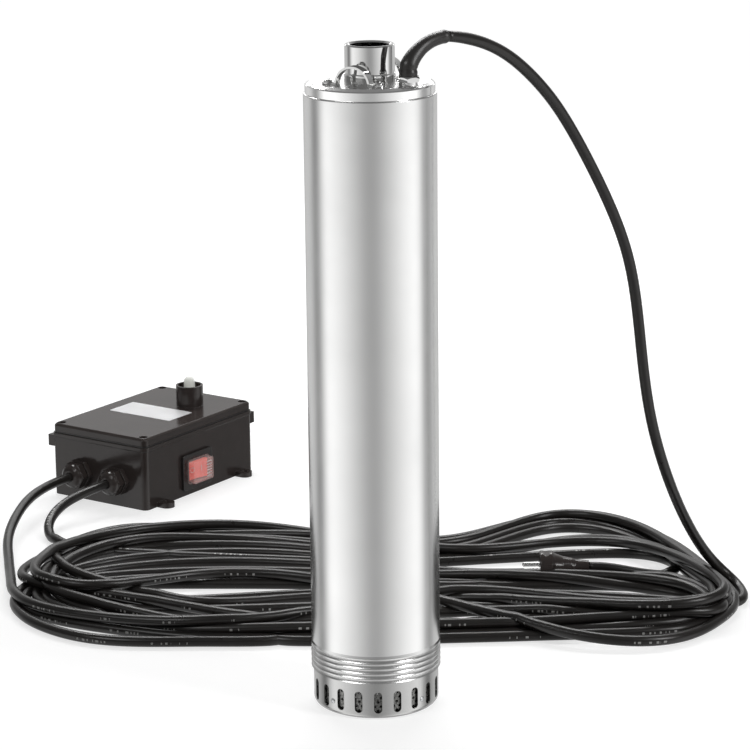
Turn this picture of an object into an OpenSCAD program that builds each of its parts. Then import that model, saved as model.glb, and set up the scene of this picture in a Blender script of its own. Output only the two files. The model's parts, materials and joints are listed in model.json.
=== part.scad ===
// Borehole submersible pump with its drop cable and control box, in millimetres.
// Frame: the pump stands on Z = 0 with its axis on Z; the control box lies square to X and Y.

/* [Casing] */
// Outside diameter of the stainless sleeve
casing_d = 128; // [122:1:140]
// Sheet thickness of the sleeve
casing_wall = 1.5; // [1.2:0.1:1.8]
// Height from the foot to the rim of the discharge head
pump_h = 622; // [606:1:700]
// Number of rolled ridges at the lower end of the sleeve
ridge_count = 5; // [3:1:6]
// Distance from one ridge to the next
ridge_pitch = 5.2; // [4.6:0.1:6]
// Depth of the grooves between the ridges
ridge_depth = 1.4; // [0.8:0.1:1.8]
// Height of the ridges above the plain sleeve
ridge_rise = 0.5; // [0.2:0.1:0.7]
// Clearance of the pieces that slide into the sleeve
sleeve_gap = 0.2; // [0.1:0.05:0.4]

/* [Suction strainer] */
// Height of the strainer cup below the sleeve
strainer_h = 38; // [34:1:46]
// Sheet thickness of the strainer cup
strainer_wall = 1.5; // [1:0.1:2]
// Step from the sleeve in to the strainer cup
strainer_step = 1.8; // [1:0.1:2.4]
// Radius of the cup's lower edge
foot_round = 6; // [3:0.5:6.5]
// Height of the collar that plugs into the sleeve
spigot_h = 10; // [8:1:14]
// Number of suction slots
slot_count = 20; // [14:1:22]
// Width of a suction slot
slot_w = 8; // [5:0.5:9]
// Length of a suction slot
slot_h = 22; // [16:1:24]
// Height of the slots' lower ends above the foot
slot_z = 6.6; // [6:0.1:9]
// Sheet thickness of the perforated screen
screen_wall = 0.8; // [0.6:0.1:1.2]
// Diameter of a screen hole
screen_hole_d = 3; // [2:0.1:3.4]
// Number of screen holes in one row
screen_columns = 60; // [40:1:64]
// Number of rows of screen holes
screen_rows = 6; // [3:1:6]

/* [Pump stages] */
// Number of impeller stages
stage_count = 4; // [3:1:4]
// Height of one stage
stage_pitch = 34; // [32:1:36]
// Outside diameter of an impeller
impeller_d = 88; // [80:1:94]
// Diameter of an impeller's eye
eye_d = 40; // [34:1:44]
// Height of the water passage in an impeller
passage_h = 7; // [5:0.5:8]
// Thickness of the impeller and diffuser walls
stage_wall = 2; // [1.6:0.1:2.4]
// Number of vanes in an impeller
vane_count = 6; // [5:1:8]
// Number of guide vanes in a diffuser
guide_count = 8; // [6:1:10]
// Diameter of the shaft in the pump stages
shaft_d = 12; // [10:1:14]

/* [Motor] */
// Outside diameter of the motor can
motor_d = 100; // [96:1:104]
// Sheet thickness of the motor can
motor_wall = 1.2; // [1:0.1:1.6]
// Length of the stator and rotor cores
core_len = 140; // [110:1:150]
// Diameter of the rotor
rotor_d = 54; // [48:1:58]
// Gap between rotor and stator
air_gap = 0.5; // [0.4:0.1:0.8]
// Outside diameter of the ball bearings
bearing_od = 35; // [32:1:37]
// Bore of the ball bearings
bearing_id = 15; // [13:1:16]
// Width of the ball bearings
bearing_w = 11; // [9:1:12]
// Diameter of a bearing ball
ball_d = 5.8; // [5:0.1:6]

/* [Discharge head] */
// Rise of the head's flat crown above its rim
crown_h = 2; // [1:0.5:4]
// Thickness of the head's top plate
head_wall = 3; // [2.5:0.5:4]
// Height of the head that shows above the sleeve
head_show = 9; // [7:1:12]
// Depth of the head's skirt inside the sleeve
skirt_h = 16; // [14:1:20]
// Outside diameter of the threaded outlet
outlet_d = 48; // [46:0.5:50]
// Bore of the outlet at the crests of its pipe thread
outlet_bore = 38.95; // [36:0.05:40]
// Height of the outlet above the crown
outlet_h = 35; // [30:1:42]
// Height of the outlet's base collar
collar_h = 8; // [5:1:10]
// Width of a lifting strap
strap_w = 10; // [8:0.5:12]
// Thickness of a lifting strap
strap_t = 2; // [1.5:0.5:3]
// Height of a lifting strap's arch
strap_h = 18.5; // [16:0.5:20]
// Distance from a strap's middle to its screws
strap_foot = 26; // [25:0.5:28]
// Distance from the pump axis to a strap
strap_reach = 36; // [34:0.5:38]
// Turn of the straps about the pump axis
strap_turn = 9.4; // [0:0.2:14]

/* [Cable] */
// Outside diameter of the cables
cable_d = 10.5; // [8:0.5:11]
// Distance from the pump axis to the cable gland
gland_reach = 48.4; // [46:0.2:49]
// Direction of the cable gland from the pump axis
gland_turn = -7.1; // [-12:0.1:-2]
// Height of the cable gland above the crown
gland_h = 8.5; // [8:0.5:14]
// Height of the coiled cable
coil_h = 42; // [36:1:50]

/* [Control box] */
// Width of the box
box_w = 146; // [138:1:160]
// Length of the box
box_l = 217; // [205:1:235]
// Height of the box to the top of its lid
box_h = 90; // [84:1:100]
// Wall thickness of the box
box_wall = 3; // [2.5:0.5:4]
// Radius of the box's upright corners
box_round = 7; // [6:0.5:10]
// Height of the lid
lid_h = 10; // [9:1:14]
// Distance of the mounting holes from the box wall
foot_out = 9; // [8:0.5:11]
// Distance between the mounting holes along the box
foot_pitch = 158; // [140:1:168]
// Diameter of the mounting holes
foot_hole_d = 5.5; // [4:0.5:6.5]
// Outside diameter of the guard collar around the reset button
guard_d = 34; // [32:0.5:37]
// Height of the guard collar above the lid
guard_h = 26; // [22:1:30]
// Diameter of the start capacitor in the box
capacitor_d = 40; // [30:1:42]
// Length of the start capacitor's can
capacitor_l = 86; // [70:1:90]
// Travel of the reset button
reset_travel = 2.5; // [1.5:0.5:3]
// Swing of the rocker from off to on, in degrees
rocker_swing = 18; // [12:1:18]
// Diameter of the plug's round body
plug_d = 37; // [34:1:40]

/* [Hidden] */
$fn = 96;
eps = 0.1;
casing_r = casing_d / 2;
bore_r = casing_r - casing_wall;
stack_r = bore_r - ridge_depth + ridge_rise - sleeve_gap;
sleeve_top = pump_h - head_show;
ridge_h = ridge_count * ridge_pitch;
ridge_steps = 8;
shoulder_r = 1.3;

cup_r = casing_r - strainer_step;
screen_r = stack_r - strainer_wall - 0.3;
screen_top = strainer_h + spigot_h;
rivet_z = slot_z + 7.4;

plate_h = 6;
plate_z = strainer_h + spigot_h;
stack_z = plate_z + plate_h;
stack_top = stack_z + stage_count * stage_pitch;
shaft_r = shaft_d / 2;
hub_r = shaft_r + 4;
hub_fit = 0.03;
run_gap = 0.05;
eye_r = eye_d / 2;
neck_r = eye_r + stage_wall;
neck_gap = 0.4;
wheel_r = impeller_d / 2;
face_gap = 1;
bowl_floor = 2.5;
bowl_wall = 2.5;
wheel_z = bowl_floor + face_gap;
wheel_h = 2 * stage_wall + passage_h;
return_z = wheel_z + wheel_h + face_gap;
vane_t = 1.8;
vane_arc = wheel_r - 19;
vane_off = wheel_r - 17;
guide_arc = wheel_r - 12;
guide_off = wheel_r - 4;
nut_h = 6;

flange_h = 8;
can_r = motor_d / 2;
can_bore = can_r - motor_wall;
can_fit = 0.1;
seal_r = shaft_r + 2;
seal_z = stack_top + 4;
oil_h = 40;
bracket_h = 24;
bearing_r = bearing_od / 2;
bearing_mid = (bearing_od + bearing_id) / 4;
bearing_seat = bearing_id / 2;
race_t = (bearing_od - bearing_id) / 2 * 0.3;
ball_count = 8;
ball_gap = 0.08;
can_z = stack_top + flange_h;
lower_z = can_z + oil_h;
lower_bearing_z = lower_z + bracket_h - bearing_w;
core_z = lower_z + bracket_h + 28;
core_top = core_z + core_len;
shaft_step = 20;
upper_z = core_top + 28;
upper_bearing_z = upper_z;
cap_spigot = 6;
can_top = upper_z + bracket_h + cap_spigot;
cap_h = 22;
core_shaft_r = bearing_seat + 3.5;
rotor_r = rotor_d / 2;
stator_r = rotor_r + air_gap;
slot_n = 24;

crown_z = pump_h + crown_h;
skirt_r = bore_r - sleeve_gap;
skirt_wall = 4;
skirt_z = sleeve_top - skirt_h;
crown_r = casing_r - 6;
ring_r = 1.3;
ring_z = skirt_z + 6;
outlet_r = outlet_d / 2;
outlet_bore_r = outlet_bore / 2;
outlet_wall = 2.4;
outlet_spigot_r = outlet_bore_r + outlet_wall;
outlet_top = crown_z + outlet_h;
collar_r = outlet_r + 1;
screw_r = 2.5;
screw_gap = 0.2;
strap_pad_r = 6.5;

cable_r = cable_d / 2;
cable_gap = 0.35;
cable_sides = 10;
gland_x = gland_reach * cos(gland_turn);
gland_y = gland_reach * sin(gland_turn);
gland_top = crown_z + gland_h;
gland_thread_r = 8;
boss_h = 8;
gland_deep = head_wall + boss_h + 1;
entry_reach = 30;
entry_z = can_top + cap_h + 8;
lead_straight = 6;
lead_steps = 14;
boot_r = 9;

gasket_t = 1.5;
lid_screw_r = 2;
lid_screw_head_r = 4.4;
lid_screw_head_h = 2.8;
lid_screw_sink = 6;
lid_screw_grip = 20;
recess_t = 1.1;
capacitor_x = -34;
capacitor_y = -10;
capacitor_rim = 3;
capacitor_tag_x = 7;
rest_gap = 0.2;
base_h = box_h - lid_h - gasket_t;
rim_out = 1;
post_in = 9;
post_r = 6.5;
lid_chamfer = 2.5;
lid_top = 3;
box_at = [-667.5, 485, 0];
guard_at = [18, 52];
guard_wall = 2.6;
guard_floor = guard_h - 13;
neck_bore = 4.28;
button_r = 4.2;
dome_r = 7;
dome_wall = 1;
dome_h = 23.6;
switch_at = [box_w / 2, -10, 30];
bezel = [4, 58, 45];
switch_body = [22, 47, 35];
switch_well = [16, 36, 25];
pivot_in = 3;
pivot_r = 2;
cover_size = [9, 39, 28];
cover_flange = 1.5;
cover_wall = 1.2;
box_gland_x = [-28, 29.5];
box_gland_z = 33;
lug = [11, 12, 14];
lug_in = 1.5;
lug_side = 4;
nut_af = 30;
gland_neck_r = 11;
gland_out = 24;
plug_at = [-51, 399, plug_d / 2];
cord_turn = 34.5;
plug_len = 55;
coil_at = [-180, 262];
coil_turn = 33;
coil_half = 208;
coil_r = 188;
coil_hole_r = 80;

// Routes of the cables, as points that a smooth curve runs through
boot_route = [[gland_x, gland_y, gland_top], [gland_x, gland_y, gland_top + 5],
    [gland_x, gland_y, gland_top + 10], [50, 2, 652], [53, 14, 660], [56, 28, 664], [59, 42, 665]];
pump_route = [[59, 42, 665], [63, 58, 663], [71, 90, 655], [80, 127, 637], [90, 165, 605],
    [98, 195, 572], [108, 233, 516], [117, 267, 459], [121, 292, 409], [121, 309, 353],
    [119, 325, 285], [118, 348, 214], [120, 389, 138], [117, 440, 78], [121, 480, 34],
    [142, 494, 12], [169, 472, 6], [184, 435, 5.5], [185, 395, 5.5], [170, 340, 5.5]];
box_route = [[-695.5, 362, 33], [-695.5, 346, 33], [-696, 313, 32.5], [-688, 271, 30], [-673, 234, 25.5],
    [-648, 185, 17], [-617, 143, 9], [-571, 102, 5.5], [-534, 83, 5.5], [-508, 74, 5.5]];
lead_route = [[-638, 362, 33], [-638, 346, 33], [-639.5, 318, 32.3], [-645, 284, 27],
    [-642, 253, 17], [-624, 224, 6.5], [-580, 206, 5.5], [-520, 205, 5.5]];
tail_route = [[-5.6, 430.2, 18.5], [10.9, 441.5, 18.5], [30, 453, 14]];

steel = "#b9bcbe";
chrome = "#dfe2e4";
brass = "#b59a55";
bronze = "#a87b45";
resin = "#3a3d40";
rubber = "#1c1c1d";
black = "#2b2826";
copper = "#b0673a";
iron = "#6d7073";

// Helpers for outlines and swept tubes

function unit(v) = v / norm(v);

// Point on the smooth curve between the second and third of four route points
function between(a, b, c, d, t) =
    0.5 * (2 * b + (c - a) * t + (2 * a - 5 * b + 4 * c - d) * t * t
    + (3 * b - a - 3 * c + d) * t * t * t);

// Route with each stretch divided into equal steps of the smooth curve
function smooth(route, steps) = let (last = len(route) - 1)
    [for (i = [0:last - 1]) for (k = [0:steps - 1])
        between(route[max(i - 1, 0)], route[i], route[i + 1], route[min(i + 2, last)], k / steps),
     route[last]];

// Soft start and stop from 0 to 1
function ease(t) = let (c = min(max(t, 0), 1)) c * c * (3 - 2 * c);

function heading(path, i) = unit(path[min(i + 1, len(path) - 1)] - path[max(i - 1, 0)]);

// Closed tube along a path, with a radius for each point and a steady side direction
module swept_tube(path, radii, side) {
    n = len(path);
    rings = [for (i = [0:n - 1]) let (
            h = heading(path, i),
            u = unit(cross(h, side)),
            w = cross(h, u))
        for (k = [0:cable_sides - 1]) let (a = 360 * k / cable_sides)
            path[i] + radii[i] * (u * cos(a) + w * sin(a))];
    walls = [for (i = [0:n - 2]) for (k = [0:cable_sides - 1]) let (
            next = (k + 1) % cable_sides,
            a = i * cable_sides + k,
            b = i * cable_sides + next,
            c = a + cable_sides,
            d = b + cable_sides)
        each [[a, c, b], [b, c, d]]];
    ends = [[for (k = [0:cable_sides - 1]) k],
            [for (k = [cable_sides - 1:-1:0]) (n - 1) * cable_sides + k]];
    polyhedron(rings, concat(walls, ends));
}

module cable_tube(route, steps, side) {
    path = smooth(route, steps);
    swept_tube(path, [for (p = path) cable_r], side);
}

// Circular pattern about Z
module around(count, first = 0) {
    for (i = [0:count - 1]) rotate([0, 0, first + 360 * i / count]) children();
}

module tube(outer, inner, h) {
    difference() {
        cylinder(r = outer, h = h);
        translate([0, 0, -eps]) cylinder(r = inner, h = h + 2 * eps);
    }
}

module rounded(size, r) {
    square([size[0] - 2 * r, size[1]], center = true);
    square([size[0], size[1] - 2 * r], center = true);
    for (x = [-1, 1]) for (y = [-1, 1])
        translate([x * (size[0] / 2 - r), y * (size[1] / 2 - r)]) circle(r);
}

module slab(w, l, h, r) {
    linear_extrude(h) rounded([w, l], r);
}

module hex_nut(across, h) {
    cylinder(d = across / cos(30), h = h, $fn = 6);
}

module stadium(half, r) {
    square([2 * half, 2 * r], center = true);
    for (x = [-1, 1]) translate([x * half, 0]) circle(r);
}

// Curved vane between two radii, a slice of a ring set off the axis
module vane(inner, outer, arc, off, t) {
    intersection() {
        difference() {
            circle(outer);
            circle(inner);
        }
        translate([0, off]) difference() {
            circle(arc);
            circle(arc - t);
        }
        translate([0, -outer]) square(2 * outer);
    }
}

// Casing and discharge head

function ridge(t) = casing_r + ridge_rise - ridge_depth * pow(abs(cos(180 * (t - 0.35))), 3);

module outer_sleeve() {
    steps = ridge_count * ridge_steps;
    wave = [for (i = [0:steps]) [ridge(i / ridge_steps), strainer_h + ridge_h * i / steps]];
    plain_z = strainer_h + ridge_h + 2;
    shoulder = [for (a = [0:22.5:90])
        [casing_r - shoulder_r + shoulder_r * cos(a), sleeve_top - shoulder_r + shoulder_r * sin(a)]];
    color(steel) rotate_extrude() polygon(concat(
        wave, [[casing_r, plain_z]], shoulder,
        [[bore_r, sleeve_top], [bore_r, plain_z]],
        [for (i = [steps:-1:0]) wave[i] - [casing_wall, 0]]));
}

module discharge_head() {
    edge = 1.2;
    inner_r = skirt_r - skirt_wall;
    plate_low = crown_z - head_wall;
    groove = 2 * ring_r + 0.2;
    color(chrome) difference() {
        union() {
            rotate_extrude() polygon([
                [skirt_r, skirt_z], [skirt_r, pump_h - edge], [skirt_r - edge, pump_h],
                [crown_r, crown_z], [outlet_spigot_r + run_gap, crown_z],
                [outlet_spigot_r + run_gap, plate_low], [inner_r - 4, plate_low],
                [inner_r, plate_low - 4], [inner_r, skirt_z]]);
            at_gland(plate_low - boss_h) cylinder(r = gland_thread_r + 2.5, h = boss_h + eps);
        }
        translate([0, 0, ring_z - groove / 2]) tube(casing_r, skirt_r - groove, groove);
        strap_screw_places() cylinder(r = screw_r + screw_gap, h = 40, center = true);
        at_gland(0) cylinder(r = gland_thread_r + screw_gap, h = 4 * pump_h, center = true);
    }
}

module head_o_ring() {
    color(rubber) translate([0, 0, ring_z]) rotate_extrude()
        translate([bore_r - ring_r - 0.1, 0]) circle(ring_r);
}

module outlet_socket() {
    lip = 1.2;
    color(chrome) rotate_extrude() polygon([
        [outlet_bore_r, crown_z - head_wall], [outlet_spigot_r, crown_z - head_wall],
        [outlet_spigot_r, crown_z], [collar_r, crown_z], [collar_r, crown_z + collar_h - 1],
        [outlet_r, crown_z + collar_h], [outlet_r, outlet_top - lip],
        [outlet_r - lip, outlet_top], [outlet_bore_r + 1.6, outlet_top],
        [outlet_bore_r, outlet_top - 1.6]]);
}

module at_strap(side) {
    rotate([0, 0, strap_turn + side]) translate([0, -strap_reach, crown_z]) children();
}

module strap_screw_places() {
    for (side = [0, 180]) at_strap(side)
        for (x = [-1, 1]) translate([x * strap_foot, 0, 0]) children();
}

module strap_outline() {
    flare = 3;
    intersection() {
        difference() {
            circle(strap_h);
            circle(strap_h - strap_t);
        }
        translate([-strap_h, 0]) square(2 * strap_h);
    }
    for (x = [-1, 1]) scale_x(x) {
        translate([strap_h - strap_t, 0]) square([strap_foot - strap_h + strap_t, strap_t]);
        difference() {
            translate([strap_h - 0.6, strap_t - eps]) square(flare);
            translate([strap_h - 0.6 + flare, strap_t - eps + flare]) circle(flare);
        }
    }
}

module scale_x(x) {
    mirror([x < 0 ? 1 : 0, 0]) children();
}

module lifting_strap(side) {
    color(chrome) at_strap(side) difference() {
        union() {
            rotate([90, 0, 0]) linear_extrude(strap_w, center = true) strap_outline();
            for (x = [-1, 1]) translate([x * strap_foot, 0, 0])
                cylinder(r = strap_pad_r, h = strap_t);
        }
        for (x = [-1, 1]) translate([x * strap_foot, 0, -eps])
            cylinder(r = screw_r + screw_gap, h = strap_t + 2 * eps);
    }
}

module strap_screws() {
    head_r = 4.8;
    head_h = 3.2;
    dome = [for (a = [0:15:75]) [head_r * cos(a), 0.8 + (head_h - 0.8) * sin(a)]];
    color(chrome) strap_screw_places() {
        translate([0, 0, strap_t]) difference() {
            rotate_extrude() polygon(concat([[0, 0], [head_r, 0]], dome, [[0, head_h]]));
            translate([0, 0, head_h - 1.6]) hex_nut(3, 2);
        }
        translate([0, 0, -head_wall - 8]) cylinder(r = screw_r, h = head_wall + 8 + strap_t);
        translate([0, 0, -head_wall - 4]) hex_nut(8, 4);
    }
}

module at_gland(z) {
    translate([gland_x, gland_y, z]) children();
}

module cable_gland() {
    collar = 3.5;
    bevel = 1.2;
    wide = 22 / cos(30) / 2;
    color(chrome) at_gland(crown_z) difference() {
        union() {
            translate([0, 0, -gland_deep]) cylinder(r = gland_thread_r, h = gland_deep + eps);
            cylinder(r = boot_r, h = collar);
            translate([0, 0, collar]) intersection() {
                hex_nut(22, gland_h - collar);
                rotate_extrude() polygon([[0, 0], [wide - bevel, 0], [wide, bevel / 2],
                    [wide, gland_h - collar - bevel * 1.5], [wide - 2 * bevel, gland_h - collar],
                    [0, gland_h - collar]]);
            }
        }
        translate([0, 0, -gland_deep - eps])
            cylinder(r = cable_r + cable_gap, h = gland_h + gland_deep + 2 * eps);
        translate([0, 0, gland_h - 7]) cylinder(r = gland_thread_r, h = 7 + eps);
    }
}

module cable_grommet() {
    color(rubber) at_gland(gland_top - 7)
        tube(gland_thread_r - 0.05, cable_r + 0.15, 7 - 0.05);
}

module cable_boot() {
    path = smooth(boot_route, 2);
    n = len(path) - 1;
    color(rubber) swept_tube(path,
        [for (i = [0:n]) boot_r - (boot_r - cable_r - 0.8) * pow(i / n, 0.8)], [1, -0.25, 0]);
}

module inner_lead() {
    way = [cos(gland_turn), sin(gland_turn)];
    rise = gland_top - entry_z;
    bend = crown_z - gland_deep - entry_z - 3 * lead_straight;
    path = [for (i = [0:lead_steps]) let (
            up = rise * i / lead_steps,
            reach = entry_reach + (gland_reach - entry_reach) * ease((up - 2 * lead_straight) / bend))
        [way[0] * reach, way[1] * reach, entry_z + up]];
    color(rubber) swept_tube(path, [for (p = path) cable_r], [way[1], -way[0], 0]);
}

// Suction strainer and inlet

module slot_cut() {
    translate([cup_r - 3 * strainer_wall, 0, slot_z + slot_h / 2]) rotate([90, 0, 90])
        linear_extrude(6 * strainer_wall) rotate(90) stadium((slot_h - slot_w) / 2, slot_w / 2);
}

module rivet_places() {
    pitch = 360 / slot_count;
    for (quarter = [0:3]) rotate([0, 0, (round(quarter * slot_count / 4) - 0.5) * pitch])
        translate([cup_r, 0, rivet_z]) rotate([0, 90, 0]) children();
}

module suction_strainer() {
    bend = [for (a = [-90:15:0]) [cup_r - foot_round + foot_round * cos(a),
        foot_round + foot_round * sin(a)]];
    inner_round = foot_round - strainer_wall;
    inner_bend = [for (a = [0:-15:-90]) [cup_r - foot_round + inner_round * cos(a),
        foot_round + inner_round * sin(a)]];
    color(steel) difference() {
        rotate_extrude() polygon(concat(
            [[0, 0]], bend, [[cup_r, strainer_h - 0.1], [stack_r, strainer_h - 0.1],
            [stack_r, plate_z], [stack_r - strainer_wall, plate_z],
            [stack_r - strainer_wall, strainer_h - 2], [cup_r - strainer_wall, strainer_h - 4]],
            inner_bend, [[0, strainer_wall]]));
        around(slot_count) slot_cut();
        rivet_places() cylinder(r = 1.5, h = 6 * strainer_wall, center = true);
    }
}

module strainer_screen() {
    low = foot_round;
    high = strainer_h - 5;
    row_h = (high - low) / screen_rows;
    color(steel) difference() {
        translate([0, 0, strainer_wall + 2.5]) tube(screen_r, screen_r - screen_wall,
            screen_top - strainer_wall - 3);
        for (row = [0:screen_rows - 1])
            around(screen_columns, (row % 2) * 180 / screen_columns)
                translate([screen_r, 0, low + row_h * (row + 0.5)]) rotate([0, 90, 0])
                    cylinder(d = screen_hole_d, h = 4 * screen_wall, center = true);
    }
}

module strainer_rivets() {
    shank = strainer_wall + 0.2;
    color(steel) rivet_places() {
        translate([0, 0, 0.08]) rotate_extrude()
            polygon(concat([[0, 0]], [for (a = [0:22.5:67.5]) [2.6 * cos(a), 1.1 * sin(a)]], [[0, 1.1]]));
        translate([0, 0, -shank]) cylinder(r = 1.4, h = shank + 0.1);
    }
}

module suction_plate() {
    rib = 5;
    color(resin) translate([0, 0, plate_z]) difference() {
        union() {
            tube(stack_r, neck_r + 2, plate_h);
            cylinder(r = hub_r + 4, h = plate_h);
            around(3, 30) translate([0, -rib / 2, 0]) cube([neck_r + 4, rib, plate_h]);
        }
        translate([0, 0, -eps]) cylinder(r = hub_r, h = plate_h + 2 * eps);
    }
}

module bottom_bush() {
    color(bronze) translate([0, 0, plate_z])
        tube(hub_r - hub_fit, shaft_r + run_gap, plate_h);
}

// Impeller stages

module stage_bowls() {
    color(resin) for (i = [0:stage_count - 1]) translate([0, 0, stack_z + i * stage_pitch]) {
        tube(stack_r, stack_r - bowl_wall, stage_pitch);
        tube(stack_r - bowl_wall + eps, neck_r + neck_gap, bowl_floor);
    }
}

module impeller(i) {
    wheel_top = wheel_z + wheel_h;
    color(brass) translate([0, 0, stack_z + (i - 1) * stage_pitch]) difference() {
        union() {
            translate([0, 0, face_gap]) tube(neck_r, eye_r, wheel_z - face_gap + stage_wall);
            translate([0, 0, wheel_z]) tube(wheel_r, eye_r, stage_wall);
            translate([0, 0, wheel_z + stage_wall - eps])
                linear_extrude(passage_h + 2 * eps) around(vane_count)
                    vane(eye_r + 1, wheel_r - 0.6, vane_arc, vane_off, vane_t);
            translate([0, 0, wheel_top - stage_wall]) cylinder(r = wheel_r, h = stage_wall);
            translate([0, 0, nut_h + face_gap])
                cylinder(r = hub_r, h = wheel_top - nut_h - face_gap);
            translate([0, 0, wheel_top - stage_wall - 3]) cylinder(r1 = hub_r, r2 = hub_r + 3, h = 3);
        }
        cylinder(r = shaft_r + hub_fit, h = 2 * wheel_top);
    }
}

module diffuser(i) {
    plate_r = wheel_r + 4;
    color(resin) translate([0, 0, stack_z + (i - 1) * stage_pitch]) {
        translate([0, 0, return_z]) tube(plate_r, hub_r + 1, stage_wall);
        translate([0, 0, return_z + stage_wall - eps])
            linear_extrude(stage_pitch - return_z - stage_wall + eps) mirror([1, 0])
                around(guide_count)
                    vane(neck_r + 3, stack_r - bowl_wall - 0.3, guide_arc, guide_off, vane_t);
    }
}

module shaft_spacers() {
    low = wheel_z + wheel_h;
    high = stage_pitch + nut_h + face_gap;
    color(steel) for (i = [0:stage_count - 1]) translate([0, 0, stack_z + i * stage_pitch + low])
        tube(hub_r - 1, shaft_r + hub_fit, i < stage_count - 1 ? high - low : stage_pitch - low);
}

module shaft_nut() {
    color(steel) translate([0, 0, stack_z + face_gap]) difference() {
        hex_nut(3 * shaft_r, nut_h);
        translate([0, 0, -eps]) cylinder(r = shaft_r + hub_fit, h = nut_h + 2 * eps);
    }
}

// Motor

module pump_shaft() {
    foot = plate_z + 1;
    tip = upper_bearing_z + bearing_w + 3;
    color(steel) rotate_extrude() polygon([
        [0, foot], [shaft_r - 1, foot], [shaft_r, foot + 1], [shaft_r, stack_top],
        [seal_r, stack_top], [seal_r, lower_bearing_z - 4], [bearing_seat + 2, lower_bearing_z - 4],
        [bearing_seat + 2, lower_bearing_z], [bearing_seat, lower_bearing_z],
        [bearing_seat, lower_bearing_z + bearing_w], [core_shaft_r, lower_bearing_z + bearing_w],
        [core_shaft_r, core_top + shaft_step], [bearing_seat + 2, core_top + shaft_step],
        [bearing_seat + 2, upper_bearing_z], [bearing_seat, upper_bearing_z],
        [bearing_seat, tip - 1], [bearing_seat - 1, tip], [0, tip]]);
}

module motor_flange() {
    window_in = can_r + 2;
    window_out = stack_r - 3;
    bar = 9;
    color(resin) translate([0, 0, stack_top]) difference() {
        union() {
            cylinder(r = stack_r, h = flange_h);
            translate([0, 0, flange_h]) tube(can_bore - can_fit, can_bore - 8, 8);
        }
        translate([0, 0, -eps]) linear_extrude(flange_h + 2 * eps) difference() {
            circle(window_out);
            circle(window_in);
            around(8) translate([0, -bar / 2]) square([2 * stack_r, bar]);
        }
        translate([0, 0, -eps]) cylinder(r = seal_r + 1, h = 2 * flange_h);
        translate([0, 0, seal_z - stack_top]) cylinder(r = seal_r + 6, h = 2 * flange_h);
    }
}

module seal_seat() {
    color("#cfc8b8") translate([0, 0, seal_z]) tube(seal_r + 6 - hub_fit, seal_r + 0.6, 7);
}

module seal_ring() {
    color("#34373b") translate([0, 0, seal_z + 7.1]) rotate_extrude() polygon([
        [seal_r + hub_fit, 0], [seal_r + 4.5, 0], [seal_r + 4.5, 3], [seal_r + 3, 4],
        [seal_r + 3, 8], [seal_r + 5, 9], [seal_r + 5, 14], [seal_r + 3, 15],
        [seal_r + hub_fit, 15]]);
}

module bearing_bracket(z, pocket_z, hole_r) {
    color(iron) translate([0, 0, z]) difference() {
        union() {
            tube(can_bore - can_fit, can_bore - 5, bracket_h);
            cylinder(r = bearing_r + 5, h = bracket_h);
            translate([0, 0, bracket_h / 2 - 4]) cylinder(r = can_bore - 4, h = 8);
        }
        translate([0, 0, -eps]) cylinder(r = hole_r, h = 2 * bracket_h);
        translate([0, 0, pocket_z]) cylinder(r = bearing_r + hub_fit, h = bearing_w + eps);
        around(6, 30) translate([(bearing_r + can_bore) / 2, 0, -eps])
            cylinder(r = 6, h = 2 * bracket_h);
    }
}

module lower_bracket() {
    bearing_bracket(lower_z, bracket_h - bearing_w, seal_r + 2.5);
}

module upper_bracket() {
    bearing_bracket(upper_z, -eps, bearing_seat + 2.5);
}

module bearing_places() {
    for (z = [lower_bearing_z, upper_bearing_z]) translate([0, 0, z]) children();
}

module race_groove() {
    translate([0, 0, bearing_w / 2]) rotate_extrude()
        translate([bearing_mid, 0]) circle(ball_d / 2 + ball_gap);
}

module bearing_outer_rings() {
    color(steel) bearing_places() difference() {
        tube(bearing_r, bearing_r - race_t, bearing_w);
        race_groove();
    }
}

module bearing_inner_rings() {
    color(steel) bearing_places() difference() {
        tube(bearing_seat + race_t, bearing_seat + hub_fit, bearing_w);
        race_groove();
    }
}

module bearing_balls() {
    color(chrome) bearing_places() around(ball_count)
        translate([bearing_mid, 0, bearing_w / 2]) sphere(d = ball_d);
}

module stator_core() {
    color(iron) translate([0, 0, core_z]) linear_extrude(core_len) difference() {
        circle(can_bore - can_fit);
        circle(stator_r);
        around(slot_n) {
            translate([stator_r - 1, -1]) square([5, 2]);
            translate([stator_r + 3, -2]) square([10, 4]);
        }
    }
}

module stator_windings() {
    turn_h = 20;
    low = stator_r + 3.2;
    high = stator_r + 12.6;
    color(copper) {
        translate([0, 0, core_z - 3]) linear_extrude(core_len + 6) around(slot_n)
            translate([low, -1.7]) square([high - low, 3.4]);
        for (z = [core_z - turn_h - 0.5, core_top + 0.5]) translate([0, 0, z])
            rotate_extrude() translate([(low + high) / 2, turn_h / 2])
                rounded([high - low + 5, turn_h], 4);
    }
}

module rotor_core() {
    ring_h = 6;
    color(iron) difference() {
        union() {
            translate([0, 0, core_z]) cylinder(r = rotor_r, h = core_len);
            for (z = [core_z - ring_h, core_top]) translate([0, 0, z])
                tube(rotor_r - 1.5, rotor_r - 9, ring_h);
        }
        translate([0, 0, core_z - eps]) cylinder(r = core_shaft_r + hub_fit, h = core_len + 2 * eps);
    }
}

module motor_can() {
    color(steel) translate([0, 0, can_z]) tube(can_r, can_bore, can_top - can_z);
}

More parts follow.
